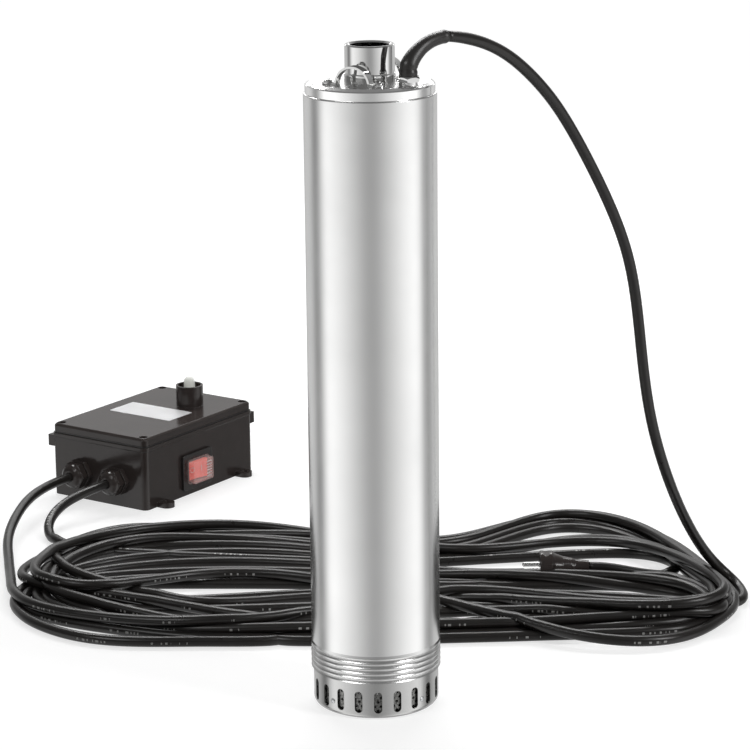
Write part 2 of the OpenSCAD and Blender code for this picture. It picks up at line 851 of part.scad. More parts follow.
module motor_cap() {
    skin = 4;
    fin = 4;
    color(resin) difference() {
        union() {
            translate([0, 0, can_top]) rotate_extrude() polygon([
                [0, cap_h - skin], [entry_reach - 12, cap_h - skin], [can_bore - 6, 6],
                [can_bore - 6, -cap_spigot], [can_bore - can_fit, -cap_spigot], [can_bore - can_fit, 0],
                [can_r, 0], [can_r, 8], [can_r - 5, 13], [entry_reach + 10, cap_h], [0, cap_h]]);
            around(3, 60) translate([can_r - 4, -fin / 2, can_top])
                cube([bore_r - sleeve_gap - can_r + 4 - 0.1, fin, 12]);
            rotate([0, 0, gland_turn]) translate([entry_reach, 0, can_top + cap_h - 1])
                cylinder(r = cable_r + 3.5, h = entry_z - can_top - cap_h + 1);
        }
        rotate([0, 0, gland_turn]) translate([entry_reach, 0, can_top + 2])
            cylinder(r = cable_r - 1.5, h = entry_z);
    }
}

// Control box

module at_box() {
    translate(box_at) children();
}

module corner_places() {
    for (x = [-1, 1]) for (y = [-1, 1])
        translate([x * (box_w / 2 - post_in), y * (box_l / 2 - post_in), 0]) children();
}

module box_gland_places() {
    for (x = box_gland_x) translate([x, -box_l / 2, box_gland_z]) rotate([90, 0, 0]) children();
}

module mounting_foot() {
    thick = 6;
    pad_r = 9;
    for (x = [-1, 1]) for (y = [-1, 1])
        translate([x * (box_w / 2 + foot_out), y * foot_pitch / 2, 0]) {
            cylinder(r = pad_r, h = thick);
            translate([x > 0 ? -foot_out - eps : 0, -pad_r, 0]) cube([foot_out + eps, 2 * pad_r, thick]);
        }
}

module box_base() {
    color(black) at_box() difference() {
        union() {
            difference() {
                union() {
                    slab(box_w, box_l, base_h, box_round);
                    translate([0, 0, base_h - 5])
                        slab(box_w + 2 * rim_out, box_l + 2 * rim_out, 5, box_round + rim_out);
                }
                translate([0, 0, box_wall]) slab(box_w - 2 * box_wall, box_l - 2 * box_wall, box_h,
                    box_round - box_wall);
            }
            intersection() {
                corner_places() cylinder(r = post_r, h = base_h);
                slab(box_w - box_wall, box_l - box_wall, base_h, box_round);
            }
            mounting_foot();
            translate([-box_w / 2 - lug[0] + lug_in, lug_side - box_l / 2, base_h - 5 - lug[2]]) cube(lug);
            translate([box_w / 2 - lug_side - lug[1], box_l / 2 - lug_in, base_h - 5 - lug[2]])
                cube([lug[1], lug[0], lug[2]]);
        }
        corner_places() translate([0, 0, base_h - 24]) cylinder(r = 2.1, h = 30);
        for (x = [-1, 1]) for (y = [-1, 1])
            translate([x * (box_w / 2 + foot_out), y * foot_pitch / 2, -eps])
                cylinder(d = foot_hole_d, h = 20);
        box_gland_places() cylinder(r = 10.2, h = 4 * box_wall, center = true);
        translate(switch_at) cube([6 * box_wall, switch_body[1] + 0.6, switch_body[2] + 0.6], center = true);
    }
}

module box_lid() {
    low = base_h + gasket_t;
    inset = 0.5;
    band = lid_h - lid_chamfer;
    w = box_w - 2 * inset;
    l = box_l - 2 * inset;
    guard_r = guard_d / 2;
    color(black) at_box() difference() {
        union() {
            translate([0, 0, low]) slab(w, l, band, box_round);
            hull() {
                translate([0, 0, low + band - eps]) slab(w, l, eps, box_round, $fn = 32);
                translate([0, 0, box_h - eps]) slab(w - 2 * lid_chamfer, l - 2 * lid_chamfer, eps,
                    box_round - lid_chamfer, $fn = 32);
            }
            translate([guard_at[0], guard_at[1], box_h - 1]) cylinder(r = guard_r, h = guard_h + 1);
        }
        difference() {
            translate([0, 0, low - eps]) slab(box_w - 2 * box_wall, box_l - 2 * box_wall,
                lid_h - lid_top + eps, box_round - box_wall);
            corner_places() cylinder(r = post_r, h = box_h);
        }
        corner_places() {
            translate([0, 0, box_h - 6]) cylinder(r = 5.2, h = 10);
            cylinder(r = 2.3, h = 2 * box_h);
        }
        translate([guard_at[0], guard_at[1], 0]) {
            cylinder(r = guard_r - guard_wall, h = box_h + guard_floor - 3);
            cylinder(r = 6.2, h = 2 * box_h);
            translate([0, 0, box_h + guard_floor]) cylinder(r = guard_r - guard_wall, h = guard_h);
        }
    }
}

module lid_gasket() {
    color(rubber) at_box() translate([0, 0, base_h]) difference() {
        slab(box_w - 1.2, box_l - 1.2, gasket_t, box_round - 0.6);
        translate([0, 0, -eps]) slab(box_w - 2 * box_wall, box_l - 2 * box_wall, gasket_t + 2 * eps,
            box_round - box_wall);
    }
}

module lid_screws() {
    color(steel) at_box() corner_places() {
        translate([0, 0, box_h - lid_screw_sink]) difference() {
            cylinder(r = lid_screw_head_r, h = lid_screw_head_h);
            for (turn = [0, 90]) rotate([0, 0, turn])
                translate([0, 0, lid_screw_head_h - recess_t / 2 + eps])
                cube([lid_screw_head_r, recess_t, 2 * recess_t], center = true);
        }
        translate([0, 0, base_h - lid_screw_grip])
            cylinder(r = lid_screw_r, h = box_h - lid_screw_sink - base_h + lid_screw_grip + eps);
    }
}

module at_switch() {
    at_box() translate(switch_at) children();
}

// Plate or block standing out of the switch face, with round corners
module switch_slab(size, r) {
    rotate([90, 0, 90]) linear_extrude(size[0]) rounded([size[1], size[2]], r);
}

module switch_frame() {
    color("#1d1c1b") at_switch() difference() {
        union() {
            switch_slab(bezel, 4);
            translate([-switch_body[0], 0, 0]) switch_slab([switch_body[0] + eps, switch_body[1],
                switch_body[2]], 2);
        }
        translate([bezel[0] - switch_well[0], 0, 0]) switch_slab([20, switch_well[1], switch_well[2]], 1);
        translate([-pivot_in, 0, 0]) cylinder(r = pivot_r + run_gap, h = switch_well[2] + 4.4, center = true);
    }
}

module switch_rocker() {
    tip = switch_well[1] / 2 - 2.3;
    tall = switch_well[2] - 1.6;
    color("#c3171b") at_switch() translate([-pivot_in, 0, 0]) rotate([0, 0, -rocker_swing / 2]) {
        translate([0, 0, -tall / 2]) linear_extrude(tall) difference() {
            polygon([[8, tip], [5.2, 0], [8, -tip], [1.5, -tip], [-5, -7], [-5, 7], [1.5, tip]]);
            for (y = [-1, 1]) translate([21, y * tip / 2]) circle(15.1);
        }
        cylinder(r = pivot_r, h = switch_well[2] + 4, center = true);
    }
}

module switch_cover() {
    color([0.9, 0.9, 0.9, 0.4]) at_switch() translate([bezel[0], 0, 0]) difference() {
        union() {
            switch_slab(cover_size, 3);
            switch_slab([1, cover_size[1] + 2 * cover_flange, cover_size[2] + 2 * cover_flange], 4);
        }
        translate([-eps, 0, 0]) switch_slab([cover_size[0] - cover_wall + eps,
            cover_size[1] - 2 * cover_wall, cover_size[2] - 2 * cover_wall], 2);
    }
}

module at_guard(z) {
    at_box() translate([guard_at[0], guard_at[1], box_h + z]) children();
}

module breaker_body() {
    floor_low = guard_floor - 3;
    color("#242322") at_guard(0) difference() {
        union() {
            translate([0, 0, -24]) cylinder(r = guard_d / 2 - guard_wall - 0.4, h = floor_low + 24);
            translate([-11, -16, -40]) cube([22, 32, 20]);
            cylinder(r = 6, h = guard_floor + 7);
        }
        translate([0, 0, guard_floor - 10]) cylinder(r = neck_bore, h = 30);
    }
}

module reset_plunger() {
    top = guard_floor + dome_h - dome_wall - 0.9;
    low = guard_floor - 10 + reset_travel + 1;
    color("#d8d8d4") at_guard(low) {
        cylinder(r = button_r, h = top - low - 2);
        translate([0, 0, top - low - 2]) cylinder(r1 = button_r, r2 = button_r - 2, h = 2);
    }
}

module reset_boot() {
    base = 7.5;
    inner = dome_r - dome_wall;
    color([0.93, 0.93, 0.9, 0.6]) at_guard(guard_floor) rotate_extrude() polygon(concat(
        [[6.05, 0], [9, 0], [9, 5], [dome_r, base]],
        [for (a = [0:15:90]) [dome_r * cos(a), dome_h - dome_r + dome_r * sin(a)]],
        [for (a = [90:-15:0]) [inner * cos(a), dome_h - dome_r + inner * sin(a)]],
        [[inner, base], [6.05, base - 0.1]]));
}

module start_capacitor() {
    can = capacitor_d / 2;
    color("#c9c9c4") at_box() translate([capacitor_x, capacitor_y, box_wall + can + rest_gap])
        rotate([-90, 0, 0]) {
            cylinder(r = can, h = capacitor_l);
            translate([0, 0, -capacitor_rim]) cylinder(r = can - 2, h = capacitor_rim);
            for (x = [-1, 1]) translate([x * capacitor_tag_x, 0, -3 * capacitor_rim])
                cylinder(r = 2, h = 2 * capacitor_rim);
        }
}

module terminal_block() {
    ways = 4;
    pitch = 11;
    color("#d9d6cc") at_box() translate([-30, -72, box_wall]) difference() {
        cube([ways * pitch, 20, 16]);
        for (i = [0:ways - 1]) translate([(i + 0.5) * pitch, 0, 0]) {
            translate([0, 5, 8]) cylinder(r = 2.6, h = 10);
            translate([0, 15, 8]) cylinder(r = 2.6, h = 10);
            translate([0, -eps, 6]) rotate([-90, 0, 0]) cylinder(r = 2, h = 21);
        }
    }
}

module box_glands() {
    color(black) at_box() box_gland_places() difference() {
        union() {
            translate([0, 0, -16]) cylinder(r = 10, h = 17);
            hex_nut(nut_af + 2, 7);
            cylinder(r = gland_neck_r, h = 15);
        }
        translate([0, 0, -20]) cylinder(r = cable_r + cable_gap, h = 40);
    }
}

module box_gland_nuts() {
    flat = 8.2;
    color(black) at_box() box_gland_places() {
        difference() {
            union() {
                translate([0, 0, flat]) hex_nut(nut_af, 9);
                translate([0, 0, flat + 9]) rotate_extrude() polygon([[0, 0], [nut_af / 2, 0],
                    [nut_af / 2 - 1, 3], [nut_af / 2 - 4, 5.6], [cable_r + 2.4, gland_out - flat - 9],
                    [0, gland_out - flat - 9]]);
            }
            translate([0, 0, flat - eps]) cylinder(r = gland_neck_r + 0.2, h = 15.2 - flat + eps);
            cylinder(r = cable_r + cable_gap, h = 40);
        }
        translate([0, 0, -box_wall - 5]) difference() {
            hex_nut(22, 5);
            translate([0, 0, -eps]) cylinder(r = 10.1, h = 6);
        }
    }
}

// Cables

module pump_cable() {
    color(rubber) cable_tube(pump_route, 2, [1, -0.25, 0]);
}

module box_cable() {
    color(rubber) cable_tube(box_route, 2, [0, 0, 1]);
}

module mains_lead() {
    color(rubber) {
        cable_tube(lead_route, 2, [0, 0, 1]);
        cable_tube(tail_route, 1, [0, 0, 1]);
    }
}

module cable_coil() {
    color(rubber) translate([coil_at[0], coil_at[1], 0]) rotate([0, 0, coil_turn])
        linear_extrude(coil_h) difference() {
            stadium(coil_half, coil_r);
            stadium(coil_half, coil_hole_r);
        }
}

module at_plug() {
    translate(plug_at) rotate([0, 0, cord_turn]) rotate([0, 90, 0]) children();
}

module plug_body() {
    r = plug_d / 2;
    color("#232120") at_plug() difference() {
        rotate_extrude() polygon([[0, 0], [r - 1, 0], [r, 1], [r, 14], [r - 3, 17], [12, 26],
            [10, 36], [8.5, 40], [7, plug_len], [0, plug_len]]);
        for (x = [-1, 1]) translate([x * (r + 3), 0, 7]) rotate([90, 0, 0])
            cylinder(r = 5.5, h = plug_d, center = true);
    }
}

module plug_pins() {
    color(chrome) at_plug() for (y = [-1, 1]) translate([0, y * 9.5, -19]) {
        translate([0, 0, 1.5]) cylinder(r = 2.4, h = 17.5);
        cylinder(r1 = 1.2, r2 = 2.4, h = 1.5);
    }
}

outer_sleeve();
discharge_head();
outlet_socket();
lifting_strap(0);  // lifting_strap_front
lifting_strap(180);  // lifting_strap_rear
strap_screws();
cable_gland();
cable_grommet();
cable_boot();
suction_strainer();
strainer_screen();
strainer_rivets();
suction_plate();
bottom_bush();
stage_bowls();
for (i = [1:stage_count]) impeller(i);
for (i = [1:stage_count - 1]) diffuser(i);
shaft_spacers();
shaft_nut();
pump_shaft();
motor_flange();
seal_seat();
seal_ring();
lower_bracket();
bearing_outer_rings();
bearing_inner_rings();
bearing_balls();
stator_core();
stator_windings();
rotor_core();
upper_bracket();
motor_can();
motor_cap();
head_o_ring();
inner_lead();
box_base();
box_lid();
lid_gasket();
lid_screws();
switch_frame();
switch_rocker();
switch_cover();
breaker_body();
reset_plunger();
reset_boot();
start_capacitor();
terminal_block();
box_glands();
box_gland_nuts();
pump_cable();
cable_coil();
box_cable();
mains_lead();
plug_body();
plug_pins();
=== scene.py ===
"""Looks of a borehole pump with its drop cable and control box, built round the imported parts."""

import json
import logging
import math
from collections.abc import Callable
from dataclasses import dataclass
from enum import Enum
from functools import cache
from typing import Union

import bmesh
import bpy
import numpy as np
from mathutils import Matrix, Vector

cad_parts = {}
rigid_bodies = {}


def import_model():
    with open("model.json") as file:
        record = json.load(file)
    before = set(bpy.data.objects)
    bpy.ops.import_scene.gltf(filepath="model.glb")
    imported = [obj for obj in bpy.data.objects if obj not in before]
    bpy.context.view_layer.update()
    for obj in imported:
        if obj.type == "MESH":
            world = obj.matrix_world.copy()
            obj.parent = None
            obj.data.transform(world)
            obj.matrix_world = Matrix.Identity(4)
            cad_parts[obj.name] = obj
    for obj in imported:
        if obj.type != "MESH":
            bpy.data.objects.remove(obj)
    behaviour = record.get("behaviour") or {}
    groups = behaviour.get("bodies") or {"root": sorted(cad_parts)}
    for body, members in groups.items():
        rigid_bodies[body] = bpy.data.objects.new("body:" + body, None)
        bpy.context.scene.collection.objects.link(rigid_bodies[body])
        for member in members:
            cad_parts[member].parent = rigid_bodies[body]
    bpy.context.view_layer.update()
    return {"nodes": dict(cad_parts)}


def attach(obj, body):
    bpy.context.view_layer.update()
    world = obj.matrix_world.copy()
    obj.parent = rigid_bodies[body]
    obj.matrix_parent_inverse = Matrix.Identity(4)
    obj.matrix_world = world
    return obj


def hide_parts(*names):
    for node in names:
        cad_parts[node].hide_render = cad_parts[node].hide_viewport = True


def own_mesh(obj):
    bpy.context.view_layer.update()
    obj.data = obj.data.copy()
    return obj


MM = 0.001
VIEW_TURN = math.radians(34.5)
ROOT = "root"
SHARP_EDGE = math.radians(28.0)

Colour = tuple[float, float, float]
Place = tuple[float, float, float]
Pair = tuple[float, float]
Faces = list[list[int]]
Points = np.ndarray
Piece = bpy.types.Object
Material = bpy.types.Material
Tree = bpy.types.NodeTree
Node = bpy.types.Node
Socket = bpy.types.NodeSocket
Feed = Union[Socket, float, tuple[float, ...]]

log = logging.getLogger("pump")


def rotate(points: Points, angle: float) -> Points:
    """Turns points about the upright axis.

    Args:
        points: rows of x, y, z in any unit.
        angle: how far, in radians.
    Returns:
        The turned points.
    """
    c, s = math.cos(angle), math.sin(angle)
    out = np.array(points, float)
    out[:, 0], out[:, 1] = c * points[:, 0] - s * points[:, 1], s * points[:, 0] + c * points[:, 1]
    return out


def to_row(points: Points) -> Points:
    """Takes points of the floor frame, whose Y points away from the camera, to the row frame."""
    return rotate(points, VIEW_TURN)


def to_floor(points: Points) -> Points:
    """Takes points of the row frame to the floor frame."""
    return rotate(points, -VIEW_TURN)


class NodeSheet:
    """Adds nodes to one node tree and fills their inputs."""

    def __init__(self, tree: Tree) -> None:
        """Takes the tree to work in, with the shader that a material starts with."""
        self.tree, self.shader = tree, tree.nodes.get("Principled BSDF")

    def fill(self, socket: Socket, feed: Feed) -> None:
        """Joins an input to another node's output, or sets its value.

        Args:
            socket: the input to fill.
            feed: an output, a number or a tuple of numbers.
        """
        if isinstance(feed, bpy.types.NodeSocket):
            self.tree.links.new(feed, socket)
        else:
            socket.default_value = feed

    def join(self, node: Node, **named: Feed) -> None:
        """Fills a node's inputs by name, with _ for a space."""
        for name, feed in named.items():
            self.fill(node.inputs[name.replace("_", " ")], feed)

    def add(self, kind: str, *feeds: Feed, operation: str = "", **named: Feed) -> Node:
        """Adds a node and fills its inputs.

        Args:
            kind: the node's type, without ShaderNode before it.
            feeds: what goes into its first inputs, in order.
            operation: its operation, where it has a choice.
            named: what goes into inputs by name.
        Returns:
            The new node.
        """
        node = self.tree.nodes.new(f"ShaderNode{kind}")
        if operation:
            node.operation = operation
        for number, feed in enumerate(feeds):
            self.fill(node.inputs[number], feed)
        self.join(node, **named)
        return node

    def math(self, operation: str, *feeds: Feed) -> Socket:
        """Adds a Math node and gives its result."""
        return self.add("Math", *feeds, operation=operation).outputs["Value"]

    def noise(self, spot: Socket, scale: Feed, detail: Feed) -> Socket:
        """Adds noise over a place and gives its value."""
        return self.add("TexNoise", Vector=spot, Scale=scale, Detail=detail).outputs["Fac"]

    def spot(self) -> Socket:
        """Gives each point's place in its own piece."""
        return self.add("TexCoord").outputs["Object"]

    def reach(self, value: Socket, low: Pair, high: tuple[Feed, Feed] = (0.0, 1.0)) -> Socket:
        """Maps a value from one range to another, and keeps it inside."""
        ends = {"From_Min": low[0], "From_Max": low[1], "To_Min": high[0], "To_Max": high[1]}
        return self.add("MapRange", Value=value, **ends).outputs["Result"]

    def blend(self, mask: Socket, low: Feed, high: Feed) -> Socket:
        """Mixes two colours.

        Args:
            mask: 0 gives the first colour and 1 the second.
            low: the first colour, as an output or with its alpha.
            high: the second colour.
        Returns:
            The mixed colour.
        """
        mix = self.add("Mix")
        mix.data_type = "RGBA"
        self.join(mix, Factor=mask, A=low, B=high)
        return next(socket for socket in mix.outputs if socket.type == "RGBA")


class Effect(Enum):
    """Shared surface effects, each one node group: its name, its inputs and its output."""

    MOTTLE = ("mottle", "Scale Low High", "Value")
    DRAWN_LINES = ("drawn_lines", "Across Along", "Value")
    MOULDED_GRAIN = ("moulded_grain", "Scale Detail", "Height")
    SETTLED_DUST = ("settled_dust", "Scale Amount", "Mask")


class EffectShop:
    """Builds each shared node group once and places it in materials."""

    mottle_contrast: Pair = (0.3, 0.7)
    mottle_detail: float = 4.0
    line_detail: float = 3.0
    dust_detail: float = 6.0

    def __init__(self) -> None:
        """Lists which method makes which effect."""
        makers = (self._mottle, self._drawn_lines, self._moulded_grain, self._settled_dust)
        self.makers: dict[Effect, Callable[[NodeSheet, Node], Socket]] = dict(zip(Effect, makers))

    def place(self, sheet: NodeSheet, effect: Effect, **values: float) -> Socket:
        """Places an effect in a material.

        Args:
            sheet: the material's nodes.
            effect: which group to place.
            values: numbers for the group's inputs, by name.
        Returns:
            The group's only output.
        """
        node = sheet.add("Group")
        node.node_tree = self._build(effect)
        sheet.join(node, **values)
        return node.outputs[0]

    @cache
    def _build(self, effect: Effect) -> Tree:
        """Builds an effect's group at its first use.

        Args:
            effect: which one.
        Returns:
            The group's tree, with number inputs and one number output.
        """
        name, inputs, output = effect.value
        tree = bpy.data.node_groups.new(name, "ShaderNodeTree")
        for socket in inputs.split():
            tree.interface.new_socket(socket, in_out="INPUT", socket_type="NodeSocketFloat")
        tree.interface.new_socket(output, in_out="OUTPUT", socket_type="NodeSocketFloat")
        sheet, start, end = NodeSheet(tree), tree.nodes.new("NodeGroupInput"), tree.nodes.new("NodeGroupOutput")
        sheet.fill(end.inputs[output], self.makers[effect](sheet, start))
        return tree

    def _mottle(self, sheet: NodeSheet, start: Node) -> Socket:
        """Makes a soft cloudy change between two values."""
        clouds = sheet.noise(sheet.spot(), start.outputs["Scale"], self.mottle_detail)
        return sheet.reach(clouds, self.mottle_contrast, (start.outputs["Low"], start.outputs["High"]))

    def _drawn_lines(self, sheet: NodeSheet, start: Node) -> Socket:
        """Makes fine lines along Z, as on drawn or polished metal.

        Args:
            sheet: the group's nodes.
            start: the node with its inputs.
        Returns:
            The height of the lines.
        """
        across, along = start.outputs["Across"], start.outputs["Along"]
        scale = sheet.add("CombineXYZ", across, across, along).outputs["Vector"]
        stretched = sheet.add("VectorMath", sheet.spot(), scale, operation="MULTIPLY")
        return sheet.noise(stretched.outputs["Vector"], 1.0, self.line_detail)

    def _moulded_grain(self, sheet: NodeSheet, start: Node) -> Socket:
        """Makes the fine even grain of a moulded skin."""
        return sheet.noise(sheet.spot(), start.outputs["Scale"], start.outputs["Detail"])

    def _settled_dust(self, sheet: NodeSheet, start: Node) -> Socket:
        """Makes a broken mask on faces that look up.

        Args:
            sheet: the group's nodes.
            start: the node with its inputs.
        Returns:
            The mask.
        """
        facing = sheet.add("NewGeometry").outputs["Normal"]
        upward = sheet.add("SeparateXYZ", facing).outputs["Z"]
        layer = sheet.math("MULTIPLY", upward, start.outputs["Amount"])
        mask = sheet.math("MULTIPLY", layer, sheet.noise(sheet.spot(), start.outputs["Scale"], self.dust_detail))
        layer.node.use_clamp = mask.node.use_clamp = True
        return mask


EFFECTS = EffectShop()


@dataclass(frozen=True)
class Finish:
    """What every finish has: a name, two tones of its colour and its gloss."""

    name: str
    colour: Colour
    second: Colour
    rough: Pair = (0.4, 0.5)
    metallic: float = 0.0
    mottle: float = 30.0
    gloss_mottle: float = 2.3
    bump: float = 0.0
    bump_depth: float = 0.0002
    specular: float = 0.5
    coat: float = 0.0

    @cache
    def material(self) -> Material:
        """Builds the nodes that all finishes share, then the finish's own.

        Returns:
            The finish's one material, made at the first call.
        """
        made = bpy.data.materials.new(f"{self.name}_finish")
        made.use_nodes = True
        sheet = NodeSheet(made.node_tree)
        tone = EFFECTS.place(sheet, Effect.MOTTLE, Scale=self.mottle, Low=0.0, High=1.0)
        low, high = self.rough
        gloss = EFFECTS.place(sheet, Effect.MOTTLE, Scale=self.mottle * self.gloss_mottle, Low=low, High=high)
        sheet.join(
            sheet.shader, Base_Color=sheet.blend(tone, (*self.colour, 1.0), (*self.second, 1.0)), Roughness=gloss,
            Metallic=self.metallic, Specular_IOR_Level=self.specular, Coat_Weight=self.coat,
        )
        self.texture(sheet)
        return made

    def cover_over(self, sheet: NodeSheet, mask: Socket, colour: Colour) -> None:
        """Lays a colour over the finish's own where a mask says so."""
        under = sheet.shader.inputs["Base Color"].links[0].from_socket
        sheet.join(sheet.shader, Base_Color=sheet.blend(mask, under, (*colour, 1.0)))

    def raise_bump(self, sheet: NodeSheet, height: Socket, **more: Socket) -> None:
        """Feeds a height into the shader's normal."""
        bump = sheet.add("Bump", Strength=self.bump, Distance=self.bump_depth, Height=height, **more)
        sheet.join(sheet.shader, Normal=bump.outputs["Normal"])

    def texture(self, sheet: NodeSheet) -> None:
        """Adds what a finish has beyond its tones; a plain finish adds nothing."""


@dataclass(frozen=True)
class DrawnMetal(Finish):
    """Metal with fine lines along Z."""

    metallic: float = 1.0
    across: float = 1400.0
    along: float = 6.0

    def texture(self, sheet: NodeSheet) -> None:
        """Adds the fine lines as bump."""
        self.raise_bump(sheet, EFFECTS.place(sheet, Effect.DRAWN_LINES, Across=self.across, Along=self.along))


@dataclass(frozen=True)
class Moulded(Finish):
    """Plastic or rubber with a fine moulded grain, a little dust on top and, where set, a painted glow."""

    mottle: float = 40.0
    grain: float = 2200.0
    grain_detail: float = 2.0
    dust: float = 0.0
    dust_scale: float = 60.0
    dust_colour: Colour = (0.3, 0.29, 0.28)
    # painted_glow: light that the surface gives off itself, painted to brighten a part that is no lamp.
    painted_glow: float = 0.0
    soft_edge: float = 0.0

    def texture(self, sheet: NodeSheet) -> None:
        """Adds a painted glow, the grain with its soft edges, and the dust.

        Args:
            sheet: the material's nodes.
        """
        # Painted glow: the finish's own colour given off as light.
        if self.painted_glow:
            sheet.join(sheet.shader, Emission_Color=(*self.colour, 1.0), Emission_Strength=self.painted_glow)
        if self.bump:
            grain = EFFECTS.place(sheet, Effect.MOULDED_GRAIN, Scale=self.grain, Detail=self.grain_detail)
            edge = {}
            if self.soft_edge:
                edge["Normal"] = sheet.add("Bevel", Radius=self.soft_edge).outputs["Normal"]
            self.raise_bump(sheet, grain, **edge)
        if self.dust:
            mask = EFFECTS.place(sheet, Effect.SETTLED_DUST, Scale=self.dust_scale, Amount=self.dust)
            self.cover_over(sheet, mask, self.dust_colour)


@dataclass(frozen=True)
class CableSheath(Moulded):
    """Rubber sheath with short pale ink dashes along one side."""

    ink: Colour = (0.34, 0.34, 0.33)
    ink_row: Pair = (0.25, 0.034)
    dash: Pair = (260.0, 0.53)
    spell: Pair = (14.0, 0.56)

    def texture(self, sheet: NodeSheet) -> None:
        """Adds the grain, then the dashes from the tube's own map of length and turn.

        Args:
            sheet: the material's nodes.
        """
        super().texture(sheet)
        split = sheet.add("SeparateXYZ", sheet.add("UVMap").outputs["UV"])
        along = sheet.add("CombineXYZ", split.outputs["X"]).outputs["Vector"]
        mask = sheet.math("COMPARE", split.outputs["Y"], *self.ink_row)
        for (scale, least), detail in ((self.dash, 1.0), (self.spell, 0.0)):
            inked = sheet.math("GREATER_THAN", sheet.noise(along, scale, detail), least)
            mask = sheet.math("MULTIPLY", mask, inked)
        self.cover_over(sheet, mask, self.ink)


@dataclass(frozen=True)
class ThinPlastic(Moulded):
    """Thin clear or milky plastic that shows what lies behind it."""

    cover: float = 0.3

    def texture(self, sheet: NodeSheet) -> None:
        """Sets how much of what lies behind is covered."""
        super().texture(sheet)
        sheet.join(sheet.shader, Alpha=self.cover)


SHALLOW = 0.0001

SATIN = DrawnMetal(
    "satin_stainless", (0.79, 0.79, 0.785), (0.74, 0.74, 0.735), (0.2, 0.27), mottle=9.0, bump=0.06, bump_depth=SHALLOW,
)
# Steel mesh behind the strainer slots, its colour darkened with painted shade for the recess it sits in.
SCREEN_PAINTED_SHADE = DrawnMetal("screen_steel_painted_shade", (0.3, 0.3, 0.29), (0.04, 0.04, 0.038), (0.25, 0.4), mottle=800.0, bump=0.05)
# Stainless of the strainer foot, darker than the sleeve's: painted shade towards the bottom of the pump.
CUP_PAINTED_SHADE = DrawnMetal(
    "foot_stainless_painted_shade", (0.55, 0.55, 0.545), (0.47, 0.47, 0.465), (0.13, 0.19), mottle=14.0, bump=0.05,
    bump_depth=SHALLOW,
)
PRESSED = DrawnMetal(
    "pressed_stainless", (0.9, 0.9, 0.895), (0.86, 0.86, 0.855), (0.16, 0.24), mottle=24.0, bump=0.03,
    across=300.0, along=300.0,
)
POLISHED = DrawnMetal(
    "polished_stainless", (0.68, 0.68, 0.675), (0.63, 0.63, 0.625), (0.04, 0.08), mottle=24.0, bump=0.02,
    across=300.0, along=300.0,
)
TURNED = DrawnMetal(
    "turned_steel", (0.6, 0.61, 0.62), (0.52, 0.53, 0.54), (0.22, 0.34), mottle=40.0, bump=0.06,
    across=40.0, along=2500.0,
)
BRASS = DrawnMetal(
    "brass", (0.68, 0.52, 0.26), (0.58, 0.42, 0.2), (0.28, 0.42), mottle=50.0, bump=0.08, across=600.0, along=600.0,
)
BRONZE = DrawnMetal(
    "bronze", (0.52, 0.34, 0.17), (0.44, 0.28, 0.14), (0.3, 0.42), mottle=50.0, bump=0.06, across=60.0, along=1800.0,
)
COPPER = DrawnMetal(
    "copper_winding", (0.62, 0.27, 0.13), (0.5, 0.2, 0.09), (0.3, 0.45), mottle=70.0, bump=0.5, bump_depth=0.0006,
    across=900.0, along=120.0,
)
CAPACITOR = DrawnMetal(
    "capacitor_can", (0.74, 0.74, 0.74), (0.68, 0.68, 0.69), (0.25, 0.36), bump=0.06,
    across=1200.0, along=1200.0,
)
LABEL = DrawnMetal(
    "label_foil", (0.8, 0.8, 0.81), (0.74, 0.74, 0.75), (0.3, 0.38), metallic=0.35, bump=0.03,
    across=300.0, along=300.0,
)
CAST = Moulded(
    "cast_iron", (0.17, 0.175, 0.18), (0.12, 0.125, 0.13), (0.5, 0.65), metallic=0.8, mottle=60.0, bump=0.25,
    grain=900.0,
)
RESIN = Moulded(
    "dark_resin", (0.07, 0.073, 0.078), (0.05, 0.052, 0.056), (0.38, 0.5), bump=0.12, grain=1500.0,
)
BOX = Moulded(
    "box_plastic", (0.045, 0.0362, 0.0336), (0.039, 0.0312, 0.0292), (0.12, 0.19), mottle=26.0, bump=0.03,
    bump_depth=SHALLOW, grain=2600.0, dust=0.01, specular=0.34, soft_edge=0.0016,
)
SWITCH = Moulded(
    "switch_plastic", (0.026, 0.0225, 0.0212), (0.022, 0.019, 0.018), (0.14, 0.22), bump=0.04,
    bump_depth=SHALLOW, grain=2600.0, soft_edge=0.001,
)
RUBBER = Moulded(
    "black_rubber", (0.024, 0.0222, 0.021), (0.019, 0.0176, 0.0166), (0.32, 0.4), bump=0.04,
    bump_depth=SHALLOW, grain=1400.0,
)
SHEATH = CableSheath(
    "cable_rubber", (0.019, 0.0168, 0.0155), (0.014, 0.0126, 0.0117), (0.27, 0.34), mottle=22.0, bump=0.02,
    bump_depth=SHALLOW, grain=1200.0, specular=0.36,
)
# Red rocker: its colour is raised and it has a painted glow, both to brighten it in the shade of its recess.
ROCKER = Moulded(
    "red_rocker", (0.95, 0.1, 0.065), (0.9, 0.085, 0.055), (0.16, 0.24), mottle=50.0, bump=0.03, grain=2600.0,
    coat=0.4, painted_glow=0.36,
)
MARK = Moulded("switch_marks", (0.85, 0.84, 0.82), (0.78, 0.77, 0.75), (0.35, 0.45), mottle=80.0)
CERAMIC = Moulded("seal_ceramic", (0.82, 0.8, 0.74), (0.78, 0.76, 0.7), (0.12, 0.2))
CARBON = Moulded("seal_carbon", (0.05, 0.05, 0.054), (0.035, 0.035, 0.038), (0.4, 0.5), mottle=50.0)
PALE = Moulded("pale_plastic", (0.76, 0.75, 0.71), (0.7, 0.69, 0.65), (0.34, 0.44), bump=0.05)
COVER = ThinPlastic("clear_cover", (0.98, 0.76, 0.73), (0.94, 0.72, 0.69), (0.06, 0.12), cover=0.3)
